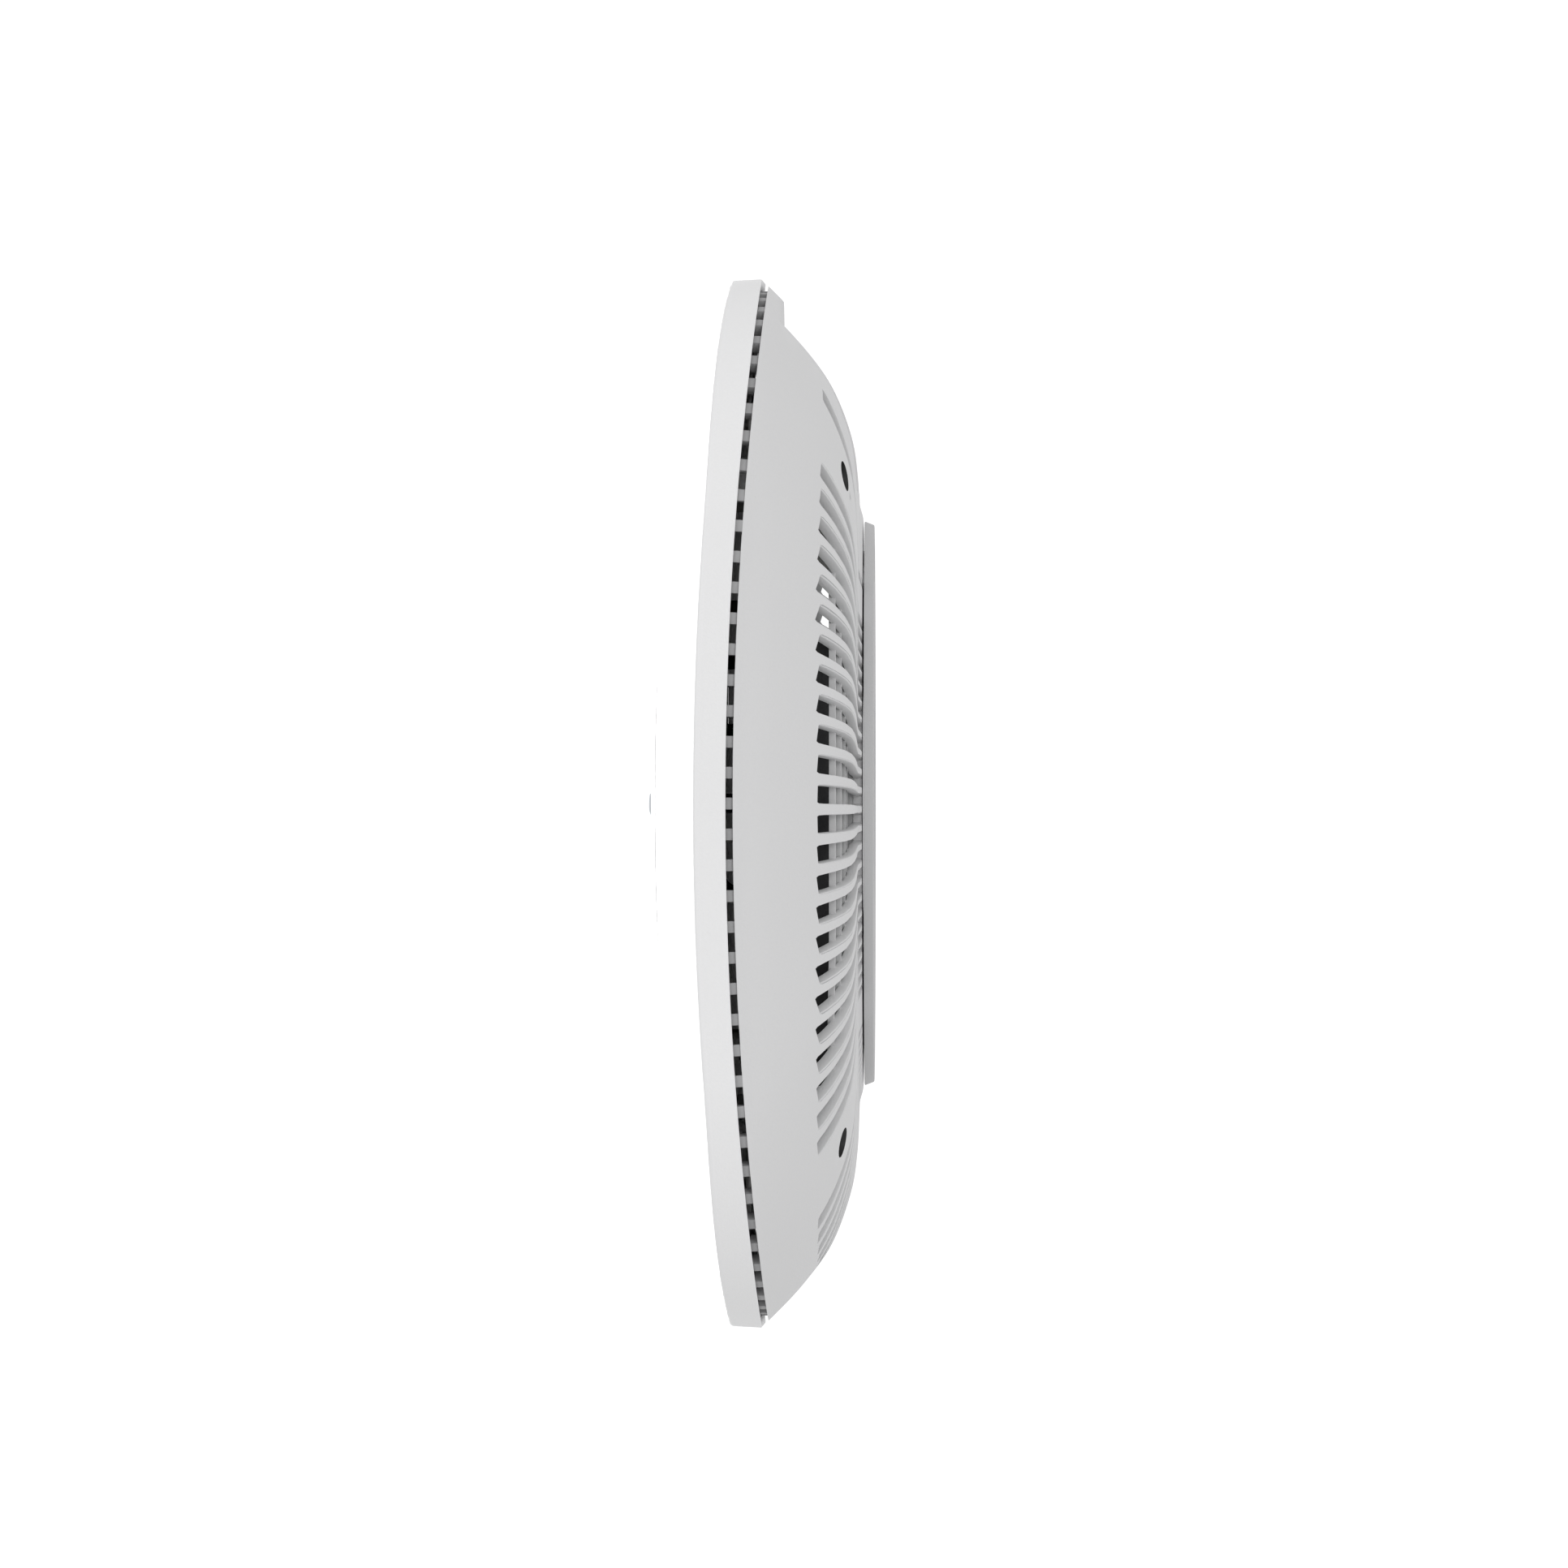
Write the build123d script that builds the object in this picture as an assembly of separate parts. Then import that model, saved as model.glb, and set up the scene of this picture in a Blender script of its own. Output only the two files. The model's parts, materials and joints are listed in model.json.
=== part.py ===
from build123d import *
import math
import os

# Ceiling access point: a domed square unit that twists onto a round ceiling bracket.
# Millimetres, +Z up to the ceiling. The origin is the centre of the bracket's ceiling face,
# so every depth below the ceiling is a negative z. The cable bay opens towards +Y.

# Overall shape
COVER_HALF = 107.7
COVER_CORNER = 51.0
ARCH_RISE = 6.2e-4          # the parting lines rise by this times y squared
COVER_EDGE = 36.5           # depth of the cover's front edge at the middle of the X sides
COVER_BACK = 30.0           # depth of the cover's back edge there
DOME_EDGE = 107.4           # half size where the dome meets the rim
DOME_CROWN = 9.4            # crown of the dome over its X edges, at y = 0
WALL = 2.3

# Rear housing: depth, half size along X, half size along Y, corner radius
HOUSING_SECTIONS = [
    (28.5, 106.1, 112.5, 49.0),
    (21.3, 102.8, 106.1, 49.5),
    (14.2, 97.0, 98.6, 51.5),
    (8.8, 90.2, 90.8, 53.0),
    (5.0, 82.4, 80.5, 54.0),
    (3.6, 74.0, 72.0, 55.0),
    (3.1, 63.0, 63.0, 57.0),
]
HOUSING_BACK = 28.5
SKIN_DROP = 1.8             # the housing's inner skin lies this far below its outer one
SKIN_IN = 1.9               # and this far inside it
PLATEAU_TOP = 2.3
PLATEAU_R = 58.7
PLATEAU_FOOT_R = 62.0

# Vents
SLOTS_PER_SIDE = 24
SLOT_PITCH = 6.2
SLOT_OUTER_HALF = 93.6
SLOT_OUTER_CORNER = 52.3
SLOT_OUTER_WIDTH = 3.8
SLOT_INNER_WIDTH = 2.4
SLOT_INNER_RADIUS = 56.6
PATTERN_Y = -1.2
SCREW_SPREAD = 68.4         # housing screws sit at plus and minus this in X and Y
SCREEN_RINGS = [84.0, 80.0, 74.5, 68.5]
SCREEN_HEIGHT = 1.4
SKIRT_R = 56.4              # round wall under the plateau
SKIRT_BOTTOM = 8.8

# Comb ring in the gap between cover and housing
COMB_HALF = 105.2
COMB_CORNER = 48.5
COMB_WALL = 2.6
COMB_TEETH = 120
COMB_GAP = 3.9

# Cable bay
BAY_FLOOR = 19.0
BAY_BACK_Y = 64.0
BAY_BACK_HALF = 38.0
BAY_MOUTH_HALF = 73.5
BAY_MOUTH_Y = 99.5
BAY_REACH = 118.0

# Bracket and bayonet
BRACKET_R = 58.2
BRACKET_TOP_R = 57.4
BRACKET_T = 2.0
CABLE_HOLE_R = 22.0
BOX_WIDE = 83.3
BOX_NARROW = 60.3
SCREW_HOLE_R = 2.25
HOOK_R = 48.0               # radius of the groove each hook's stem slides in
HOOK_ANGLES = [45, 135, 225, 315]
HOOK_HALF_ANGLE = 4
TWIST = 20                  # degrees from locked to free; the unit turns clockwise from above
TAB_R = 51.2                # middle radius of the sprung lock tab
TAB_PIVOT_ANGLE = 102.75
TAB_TIP_ANGLE = 76
TAB_ROOT_R = 2.6
TAB_GROOVE = (45.5, 55.6, 74, 103)
PLATE_RING_TOP = 4.35       # bayonet ring under the plateau
PLATE_RING_BOTTOM = 5.55

# Front disc
DISC_R = 32.2
DISC_RING_R = 35.1
DISC_POCKET = 1.6
LENS_R = 2.5

# Board stack
BOARD_TOP = 19.8
BOARD_T = 1.6
BOARD_HALF = 88.0
BOARD_FRONT_Y = 60.0
PLATE_TOP = 25.0
PLATE_T = 1.0
BOARD_POSTS = [(-78, -50), (78, -50), (-78, 40), (78, 40), (0, -80)]
BOARD_CORNER = 14
SINK_TOP = 13.4
SINK_BOTTOM = 15.2
SINK_FIN_TOP = 9.0
SINK_FINS = 15
SINK_FIN_PITCH = 8
SINK_FEET = [(-66, -60), (66, -60), (-66, 36), (66, 36), (8, 36)]
PAD_TOP = 16.0              # soft pads lie between the sink's bosses and the cans
CAN_TOP = 16.9
CAN_WALL = 0.3
CHIP_ZONES = [(-60, -22, -52, -14), (-16, 16, -52, -14), (22, 60, -52, -14), (-60, -30, -6, 24)]
SHIELD_NAMES = ["shield_2g", "shield_cpu", "shield_5g", "shield_6g"]
INDUCTOR_SPOTS = [(-22, 32), (-10, 32), (26, 12)]
CAPACITOR_SPOTS = [(-46, 34), (-36, 34), (58, 30), (58, 20)]

# Aerials on the reflector: middle in X and Y, then turn in degrees
AERIALS_2G = [(-62, 0, 90), (62, 0, 90), (0, 62, 0), (0, -62, 0)]
AERIALS_5G = [(-46, -46, 45), (46, -46, 135), (-46, 46, 135), (46, 46, 45)]
SHEET = 0.5
COAX_D = 1.37
COAX_HOLES = [(-52, -18), (52, -18), (-20, 46), (20, -46)]
COAX_ROUTES = [
    [(-52, -18, -24.2), (-52, -18, -30), (-56, -14, -33), (-61, -12.2, -31), (-62, -12.2, -27.4)],
    [(52, -18, -24.2), (52, -18, -30), (56, -14, -33), (61, -12.2, -31), (62, -12.2, -27.4)],
]

# Sockets: middle in X, width and height of each network jack, then the data socket and the button
JACKS = [(-27.0, 15.9, 12.8), (-9.0, 15.9, 12.8), (9.5, 15.9, 12.8)]
JACK_BACK_Y = 46.0
USB_X = 25.0
RESET_X = 33.6
RESET_DEPTH = 14.0

# Screws
WELL_R = 5.4
WELL_BOTTOM = 17.0
WELL_BORE_R = 3.1
WELL_BORE_BOTTOM = 14.0
POST_R = 4.0
PILOT_R = 1.3

os.makedirs("parts", exist_ok=True)


def save(shape, name):
    export_step(shape, f"parts/{name}.step")


def block(x0, x1, y0, y1, d0, d1):
    """A box between two corners, with depths below the ceiling in place of z."""
    centre = ((x0 + x1) / 2, (y0 + y1) / 2, -(d0 + d1) / 2)
    return Pos(*centre) * Box(abs(x1 - x0), abs(y1 - y0), abs(d1 - d0))


def rod(x, y, radius, d0, d1):
    return Pos(x, y, -(d0 + d1) / 2) * Cylinder(radius, abs(d1 - d0))


def prism(sketch, d0, d1):
    """A sketch on the ceiling plane carried down from depth d0 to depth d1."""
    return Pos(0, 0, -d1) * extrude(sketch, d1 - d0)


def rounded(half_x, half_y, corner):
    return RectangleRounded(2 * half_x, 2 * half_y, corner)


def arch_block(d_top, d_bottom):
    """A slab between two arched surfaces that rise towards the ceiling at the Y sides."""
    reach = 130.0
    rise = ARCH_RISE * reach * reach
    low = ThreePointArc((-reach, rise - d_bottom), (0, -d_bottom), (reach, rise - d_bottom))
    high = ThreePointArc((-reach, rise - d_top), (0, -d_top), (reach, rise - d_top))
    ends = [Line(low @ 0, high @ 0), Line(low @ 1, high @ 1)]
    side = make_face([low.edge(), high.edge(), ends[0].edge(), ends[1].edge()])
    return extrude(Plane.YZ * side, reach, both=True)


def dome_height(x, y):
    crown = DOME_CROWN * (1 - (y / DOME_EDGE) ** 2)
    return COVER_EDGE - ARCH_RISE * y * y + crown * (1 - (x / DOME_EDGE) ** 2)


def dome_block(shift, thickness):
    """The slab that lies shift nearer the ceiling than the dome's face."""
    reach = 112.0
    middle = 2 * dome_height(reach, 0) - dome_height(reach, reach)

    def control(i, j):
        if i == 1 and j == 1:
            edge_x = 2 * dome_height(0, reach) - dome_height(reach, reach)
            depth = 4 * dome_height(0, 0) - dome_height(reach, reach) - edge_x - middle
            return depth
        if i == 1:
            return 2 * dome_height(0, reach) - dome_height(reach, reach)
        if j == 1:
            return middle
        return dome_height(reach, reach)

    spots = [-reach, 0, reach]
    points = [[(spots[i], spots[j], shift - control(i, j)) for j in range(3)] for i in range(3)]
    face = Face.make_bezier_surface(points)
    return Solid.extrude(face, Vector(0, 0, thickness))


def dish(drop, inset):
    """The housing's outer form, lowered by drop and drawn in by inset."""
    wires = []
    for depth, half_x, half_y, corner in HOUSING_SECTIONS:
        sketch = rounded(half_x - inset, half_y - inset, corner - inset)
        wires.append(Pos(0, 0, -depth - drop) * sketch)
    ledge = HOUSING_SECTIONS[-1][0]
    rise = ledge - PLATEAU_TOP
    plateau = Pos(0, 0, -ledge - drop + (rise - 0.5) / 2) * Cone(
        PLATEAU_FOOT_R - inset, PLATEAU_R - inset, rise + 0.5
    )
    return loft(wires) + plateau


def bay_sketch(grow):
    """Plan of the cable bay, grown outwards by the thickness of its lining."""
    back = BAY_BACK_Y - grow
    half = BAY_BACK_HALF + 0.42 * grow
    mouth = BAY_MOUTH_HALF + grow
    line = Polyline(
        (-mouth, BAY_REACH),
        (-mouth, BAY_MOUTH_Y - 0.42 * grow),
        (-half, back),
        (half, back),
        (mouth, BAY_MOUTH_Y - 0.42 * grow),
        (mouth, BAY_REACH),
        close=True,
    )
    return make_face(line)


def arc_sector(r0, r1, a0, a1):
    """Flat ring sector between two radii and two angles in degrees."""
    def spot(r, a):
        return (r * math.cos(math.radians(a)), r * math.sin(math.radians(a)))
    mid = (a0 + a1) / 2
    outer = ThreePointArc(spot(r1, a0), spot(r1, mid), spot(r1, a1))
    inner = ThreePointArc(spot(r0, a0), spot(r0, mid), spot(r0, a1))
    sides = [Line(spot(r0, a0), spot(r1, a0)), Line(spot(r0, a1), spot(r1, a1))]
    return make_face([outer.edge(), inner.edge(), sides[0].edge(), sides[1].edge()])


def outline_point(s, half, corner):
    """Point on the +X side of a rounded square, s along it from the middle, and its angle."""
    straight = half - corner
    if abs(s) <= straight:
        return half, s
    turn = (abs(s) - straight) / corner
    x = straight + corner * math.cos(turn)
    y = straight + corner * math.sin(turn)
    return x, math.copysign(y, s)


def slot_sketches():
    """Every vent slot in plan: wedges that point at the middle of the pattern."""
    half_count = SLOTS_PER_SIDE / 2
    found = []
    for side in range(4):
        for k in range(SLOTS_PER_SIDE):
            in_bay = side == 1 and 0 < k < SLOTS_PER_SIDE - 1
            if in_bay:
                continue
            s = (k + 0.5 - half_count) * SLOT_PITCH
            x, y = outline_point(s, SLOT_OUTER_HALF, SLOT_OUTER_CORNER)
            reach = math.hypot(x, y)
            wide = SLOT_OUTER_WIDTH / 2
            narrow = SLOT_INNER_WIDTH / 2
            wedge = Polygon(
                (SLOT_INNER_RADIUS, -narrow),
                (reach, -wide),
                (reach, wide),
                (SLOT_INNER_RADIUS, narrow),
                align=None,
            )
            found.append(Pos(0, PATTERN_Y) * Rot(0, 0, 90 * side + math.degrees(math.atan2(y, x))) * wedge)
    return found


def screw_spots():
    spread = SCREW_SPREAD
    return [(sx * spread, PATTERN_Y + sy * spread) for sx in (-1, 1) for sy in (-1, 1)]


def mounting_bracket():
    """Pressed plate with a cable hole, box screw holes, a spring pocket and four hooks."""
    plate = Pos(0, 0, -BRACKET_T / 2) * Cone(BRACKET_R, BRACKET_TOP_R, BRACKET_T)
    plate -= rod(0, 0, CABLE_HOLE_R, -1, BRACKET_T + 1)
    for x in (-BOX_WIDE / 2, BOX_WIDE / 2):
        plate -= rod(x, 0, SCREW_HOLE_R, -1, BRACKET_T + 1)
    for y in (-BOX_NARROW / 2, BOX_NARROW / 2):
        plate -= rod(0, y, SCREW_HOLE_R, -1, BRACKET_T + 1)
    plate -= prism(arc_sector(46.0, 55.0, TAB_TIP_ANGLE - 4, 101), -1, BRACKET_T + 1)
    plate -= rod(*tab_pivot(), TAB_ROOT_R + 0.02, -1, BRACKET_T + 1)
    for side in (-1, 1):
        for angle in (-24, 24):
            window = Pos(side * 33 * math.cos(math.radians(angle)), 33 * math.sin(math.radians(angle)))
            plate -= prism(window * SlotOverall(12, 4.6, rotation=90), -1, BRACKET_T + 1)
    for angle in HOOK_ANGLES:
        first = angle - HOOK_HALF_ANGLE
        last = angle + HOOK_HALF_ANGLE
        stem = prism(arc_sector(HOOK_R - 3, HOOK_R - 1, first, last), BRACKET_T - 0.5, 6.0)
        foot = prism(arc_sector(HOOK_R - 3, HOOK_R + 2.4, first, last), 6.0, 7.2)
        plate += stem + foot
    return plate


def tab_pivot():
    turn = math.radians(TAB_PIVOT_ANGLE)
    return TAB_R * math.cos(turn), TAB_R * math.sin(turn)


def lock_tab():
    """Sprung arm with a round root in the bracket. Its tooth hangs into the unit's groove."""
    arm = prism(arc_sector(TAB_R - 1.2, TAB_R + 1.2, TAB_TIP_ANGLE, TAB_PIVOT_ANGLE), 0.3, 1.7)
    root = rod(*tab_pivot(), TAB_ROOT_R, 0.3, 1.7)
    tooth = prism(arc_sector(TAB_R - 1.8, TAB_R + 1.8, TAB_TIP_ANGLE, TAB_TIP_ANGLE + 3.5), 0.3, 4.0)
    return arm + root + tooth


def rear_housing():
    """Dished shell with fins, cable bay, central plateau and screw wells."""
    body = dish(0, 0)
    hollow = dish(SKIN_DROP, SKIN_IN) + block(-104, 104, -104, 104, 30.0, 40.0)
    shell = body - hollow
    lining = prism(bay_sketch(2.2), 0, BAY_FLOOR + WALL) & body
    wells = Part() + [rod(x, y, WELL_R, 0, WELL_BOTTOM) for x, y in screw_spots()]
    shell += lining + (wells & body)
    shell -= prism(bay_sketch(0), -1, BAY_FLOOR)
    slots = [prism(wedge, -1, 17.5) for wedge in slot_sketches()]
    shell -= slots
    shell += (wells & body) - prism(bay_sketch(0), -1, BAY_FLOOR)
    for x, y in screw_spots():
        shell -= rod(x, y, WELL_BORE_R, -1, WELL_BORE_BOTTOM)
        shell -= rod(x, y, 1.8, 0, 20.0)
    for angle in HOOK_ANGLES:
        shell -= prism(arc_sector(HOOK_R - 4.2, HOOK_R + 3.4, angle - 7, angle + TWIST + 7), 0, 6)
    shell -= prism(arc_sector(*TAB_GROOVE), 0, 6)
    skirt = prism(Circle(SKIRT_R) - Circle(SKIRT_R - 1.4), 3.6, SKIRT_BOTTOM)
    skirt -= prism(arc_sector(*TAB_GROOVE), 3, 6)
    skirt -= block(-BAY_BACK_HALF, BAY_BACK_HALF, JACK_BACK_Y - 1, 70, 6.5, SKIRT_BOTTOM + 1)
    shell += skirt
    shell -= jack_windows(1.0, 60.0, 66.0)
    shell &= arch_block(-40, HOUSING_BACK)
    return max(shell.solids(), key=lambda piece: piece.volume)


def jack_windows(grow, y0, y1):
    """Openings in the bay's back wall for the sockets and the reset button."""
    cuts = Part()
    for x, width, height in JACKS:
        low = BOARD_TOP - 0.2
        cuts += block(x - width / 2 - 0.2, x + width / 2 + 0.2, y0, y1, low - height - 0.2, low)
    cuts += block(USB_X - 4.9, USB_X + 4.9, y0, y1, BOARD_TOP - 4.2, BOARD_TOP - 0.4)
    cuts += Pos(RESET_X, (y0 + y1) / 2, -RESET_DEPTH) * Rot(90, 0, 0) * Cylinder(1.2 + 0.2 * grow, y1 - y0)
    return cuts


def front_cover():
    """Domed cover with an upright rim, a pocket for the disc and four screw posts."""
    outer = prism(rounded(COVER_HALF, COVER_HALF, COVER_CORNER), 10, 50)
    inner = prism(rounded(COVER_HALF - WALL, COVER_HALF - WALL, COVER_CORNER - WALL), 5, 52)
    above = dome_block(0, 60)
    hollow = dome_block(WALL, 60)
    cover = (outer & above & arch_block(COVER_BACK, 60)) - (inner & hollow)
    posts = Part() + [rod(x, y, POST_R, WELL_BOTTOM + 0.5, 50) for x, y in screw_spots()]
    cover += posts & dome_block(WALL - 0.5, 60)
    pad = rod(0, 0, DISC_RING_R + 2.5, 30, 50) & dome_block(WALL - 0.5, DISC_POCKET + 0.5)
    cover += pad
    cover -= rod(0, 0, DISC_RING_R + 0.2, 30, 50) - dome_block(DISC_POCKET, 60)
    for x, y in screw_spots():
        cover -= rod(x, y, PILOT_R, 10, 32)
    cover -= rod(0, 0, LENS_R + 0.4, 30, 52)
    return cover


def disc_layer(r_in, r_out, shift, thickness):
    ring = rod(0, 0, r_out, 30, 52)
    if r_in:
        ring -= rod(0, 0, r_in, 29, 53)
    return ring & dome_block(shift, thickness)


def front_disc():
    return disc_layer(LENS_R + 0.05, DISC_R, -0.1, DISC_POCKET + 0.05)


def disc_ring():
    return disc_layer(DISC_R + 0.05, DISC_RING_R, 0.35, DISC_POCKET - 0.4)


def led_lens():
    """Small lens with a chamfered face, a push fit in the disc."""
    face = rod(0, 0, LENS_R, 43.2, 46.1) + Pos(0, 0, -46.1) * Cone(LENS_R - 0.6, LENS_R, 0.4, align=(
        Align.CENTER, Align.CENTER, Align.MAX))
    return face


def comb_ring():
    """Ring of teeth that spaces the cover from the housing and leaves an air gap."""
    ring = prism(rounded(COMB_HALF, COMB_HALF, COMB_CORNER), 10, 40)
    ring -= prism(rounded(COMB_HALF - COMB_WALL, COMB_HALF - COMB_WALL, COMB_CORNER - COMB_WALL), 9, 41)
    teeth = ring & arch_block(HOUSING_BACK, COVER_BACK)
    flange = ring & arch_block(COVER_BACK, COVER_BACK + 1.2)
    straight = COMB_HALF - COMB_CORNER
    side_length = 2 * straight + COMB_CORNER * math.pi / 2
    per_side = COMB_TEETH // 4
    pitch = side_length / per_side
    cuts = []
    for side in range(4):
        for k in range(per_side):
            s = (k + 0.5 - per_side / 2) * pitch
            x, y = outline_point(s, COMB_HALF, COMB_CORNER)
            turn = 0 if abs(s) <= straight else math.copysign((abs(s) - straight) / COMB_CORNER, s)
            box = Pos(x, y, -26) * Rot(0, 0, math.degrees(turn)) * Box(8, COMB_GAP, 20)
            cuts.append(Rot(0, 0, 90 * side) * box)
    return (teeth - cuts) + flange


def vent_screen():
    """Thin dished grid behind the slots: concentric rings joined by spokes."""
    skin = dish(SKIN_DROP + 0.1, SKIN_IN + 0.1) - dish(SKIN_DROP + 0.1 + SCREEN_HEIGHT, SKIN_IN + 1.0)
    pattern = Part()
    for half in SCREEN_RINGS:
        corner = min(53.0, half - 4)
        ring = rounded(half + 0.5, half + 0.5, corner + 0.5) - rounded(half - 0.5, half - 0.5, corner - 0.5)
        pattern += prism(ring, 0, 30)
    pattern = Pos(0, PATTERN_Y, 0) * pattern
    for angle in range(0, 360, 30):
        spoke = Rot(0, 0, angle) * Pos(76, 0, -15) * Box(26, 1.4, 30)
        pattern += Pos(0, PATTERN_Y, 0) * spoke
    grid = skin & pattern
    grid -= prism(bay_sketch(2.5), -1, 30)
    for x, y in screw_spots():
        grid -= rod(x, y, 5.7, 0, 30)
    grid -= prism(Circle(61.5), 0, 30)
    grid -= block(-BAY_BACK_HALF - 2, BAY_BACK_HALF + 2, JACK_BACK_Y - 2, 70, 0, 30)
    parts = [s for s in grid.solids() if s.volume > 5]
    return Compound(parts) if len(parts) > 1 else parts[0]


def main_board():
    """Printed board, cut short at the bay and round the cover's screw posts."""
    board = block(-BOARD_HALF, BOARD_HALF, -BOARD_HALF, BOARD_FRONT_Y, BOARD_TOP, BOARD_TOP + BOARD_T)
    board = fillet(board.edges().filter_by(Axis.Z), BOARD_CORNER)
    for x, y in screw_spots():
        board -= rod(x, y, 7.0, BOARD_TOP - 1, BOARD_TOP + 3)
    board -= block(-120, 120, 45, 80, BOARD_TOP - 1, BOARD_TOP + 3) - block(-58, 58, 40, 80, 0, 40)
    for x, y in BOARD_POSTS:
        board -= rod(x, y, 1.7, BOARD_TOP - 1, BOARD_TOP + 3)
    return board


def heat_sink():
    """Cast plate over the board with low fins, raised bosses and threaded feet."""
    plate = block(-72, 72, -66, 42, SINK_TOP, SINK_BOTTOM)
    plate = fillet(plate.edges().filter_by(Axis.Z), 12)
    for k in range(SINK_FINS):
        x = (k - (SINK_FINS - 1) / 2) * SINK_FIN_PITCH
        plate += block(x - 0.8, x + 0.8, -58, 34, SINK_FIN_TOP, SINK_TOP)
    for x0, x1, y0, y1 in CHIP_ZONES:
        plate += block(x0 + 3, x1 - 3, y0 + 3, y1 - 3, SINK_BOTTOM, PAD_TOP)
    for x, y in SINK_FEET:
        plate += rod(x, y, 3.0, SINK_BOTTOM, BOARD_TOP)
        plate -= rod(x, y, 1.1, 14.5, BOARD_TOP + 1)
    return plate


def shield_can(zone):
    """Drawn tin can, open towards the board."""
    x0, x1, y0, y1 = zone
    wall = CAN_WALL
    can = block(x0, x1, y0, y1, CAN_TOP, BOARD_TOP)
    can = fillet(can.edges().filter_by(Axis.Z), 1.5)
    can -= block(x0 + wall, x1 - wall, y0 + wall, y1 - wall, CAN_TOP + wall, BOARD_TOP + 1)
    return can


def thermal_pads():
    pads = [block(x0 + 4, x1 - 4, y0 + 4, y1 - 4, PAD_TOP, CAN_TOP) for x0, x1, y0, y1 in CHIP_ZONES]
    return Compound([p.solid() for p in pads])


def chip(x, y, size, height):
    body = block(x - size / 2, x + size / 2, y - size / 2, y + size / 2, BOARD_TOP - height, BOARD_TOP)
    return chamfer(body.edges().group_by(Axis.Z)[-1], 0.15)


def cpu_chip():
    return chip(0, -33, 17, 1.6)


def memory_chips():
    return Compound([chip(x, -47, 7, 1.0).solid() for x in (-8, 8)])


def radio_chips():
    spots = [(-41, -33), (41, -33), (-45, 9)]
    return Compound([chip(x, y, 10, 1.0).solid() for x, y in spots])


def poe_transformer():
    """Ferrite core with its wound bobbin, in the power corner."""
    core = block(34, 50, 14, 32, 16.4, BOARD_TOP) - block(38, 46, 12, 34, 17.2, BOARD_TOP - 0.6)
    bobbin = block(38.1, 45.9, 15.5, 30.5, 17.3, BOARD_TOP - 0.7)
    return core, fillet(bobbin.edges().filter_by(Axis.Y), 0.8)


def power_inductors():
    coils = []
    for x, y in INDUCTOR_SPOTS:
        coil = block(x - 4, x + 4, y - 4, y + 4, 16.4, BOARD_TOP)
        coils.append(fillet(coil.edges().filter_by(Axis.Z), 1.2).solid())
    return Compound(coils)


def capacitors():
    cans = []
    for x, y in CAPACITOR_SPOTS:
        can = rod(x, y, 3.1, 15.8, BOARD_TOP)
        cans.append(fillet(can.edges().group_by(Axis.Z)[-1], 0.4).solid())
    return Compound(cans)


def rj45_jack(x, width, height):
    """Socket box open to the bay, with a stepped latch recess at its top."""
    d0 = BOARD_TOP - 0.2 - height
    jack = block(x - width / 2, x + width / 2, JACK_BACK_Y, BAY_BACK_Y - 0.2, d0, BOARD_TOP - 0.2)
    jack -= block(x - 5.9, x + 5.9, 49.5, BAY_BACK_Y + 1, d0 + 3.6, BOARD_TOP - 2.2)
    jack -= block(x - 3.1, x + 3.1, 51.5, BAY_BACK_Y + 1, d0 + 1.6, d0 + 4.0)
    return jack


def jack_contacts():
    """Eight sprung wires in each socket, drawn as straight gilt strips."""
    wires = []
    for x, _, _ in JACKS:
        for k in range(8):
            wire_x = x + (k - 3.5) * 1.02
            tilt = Rot(-28, 0, 0) * Box(0.4, 8.0, 0.3)
            wires.append((Pos(wire_x, 55.2, -BOARD_TOP + 4.6) * tilt).solid())
    return Compound(wires)


def usb_jack():
    """Oval metal socket with its tongue."""
    plan = SlotOverall(9.0, 3.2)
    hole = SlotOverall(8.4, 2.6)
    spot = Pos(USB_X, BAY_BACK_Y - 0.2, -BOARD_TOP + 2.2) * Rot(90, 0, 0)
    shell = spot * extrude(plan, 8.0) - spot * extrude(hole, 7.0)
    foot = block(USB_X - 4, USB_X + 4, 56.2, 60.0, BOARD_TOP - 0.62, BOARD_TOP)
    tongue = block(USB_X - 3.2, USB_X + 3.2, 56.6, 62.0, BOARD_TOP - 2.5, BOARD_TOP - 1.9)
    return shell + foot + tongue


def reset_button():
    """Cap with a flange behind the port plate."""
    turn = Rot(90, 0, 0)
    cap = Pos(RESET_X, 60.9, -RESET_DEPTH) * turn * Cylinder(0.95, 6.2)
    flange = Pos(RESET_X, 58.0, -RESET_DEPTH) * turn * Cylinder(2.0, 1.0)
    return cap + flange


def reset_switch():
    body = block(RESET_X - 3, RESET_X + 3, 51.0, 55.6, 11.0, BOARD_TOP)
    plunger = Pos(RESET_X, 56.0, -RESET_DEPTH) * Rot(90, 0, 0) * Cylinder(1.0, 0.9)
    return body + plunger


def port_plate():
    """Formed bezel on the bay's back wall, round the sockets."""
    plate = block(-36.5, 37.2, BAY_BACK_Y, BAY_BACK_Y + 0.8, 5.2, BAY_FLOOR - 0.05)
    for x, _, height in JACKS:
        low = BOARD_TOP - 0.2 - height
        plate -= block(x - 6.2, x + 6.2, 60, 70, low + 1.4, BAY_FLOOR - 1.3)
    plate -= block(USB_X - 4.7, USB_X + 4.7, 60, 70, BAY_FLOOR - 3.2, BAY_FLOOR + 1)
    plate -= Pos(RESET_X, 65, -RESET_DEPTH) * Rot(90, 0, 0) * Cylinder(1.25, 10)
    return plate


def lock_slot_insert():
    """Steel plate with a lock slot, set on the bay's slanted side wall."""
    plate = Box(0.8, 14, 9) - Box(2, 7.2, 3.2)
    return Pos(51.7, 78.3, -13.4) * Rot(0, 0, -45) * plate


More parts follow.
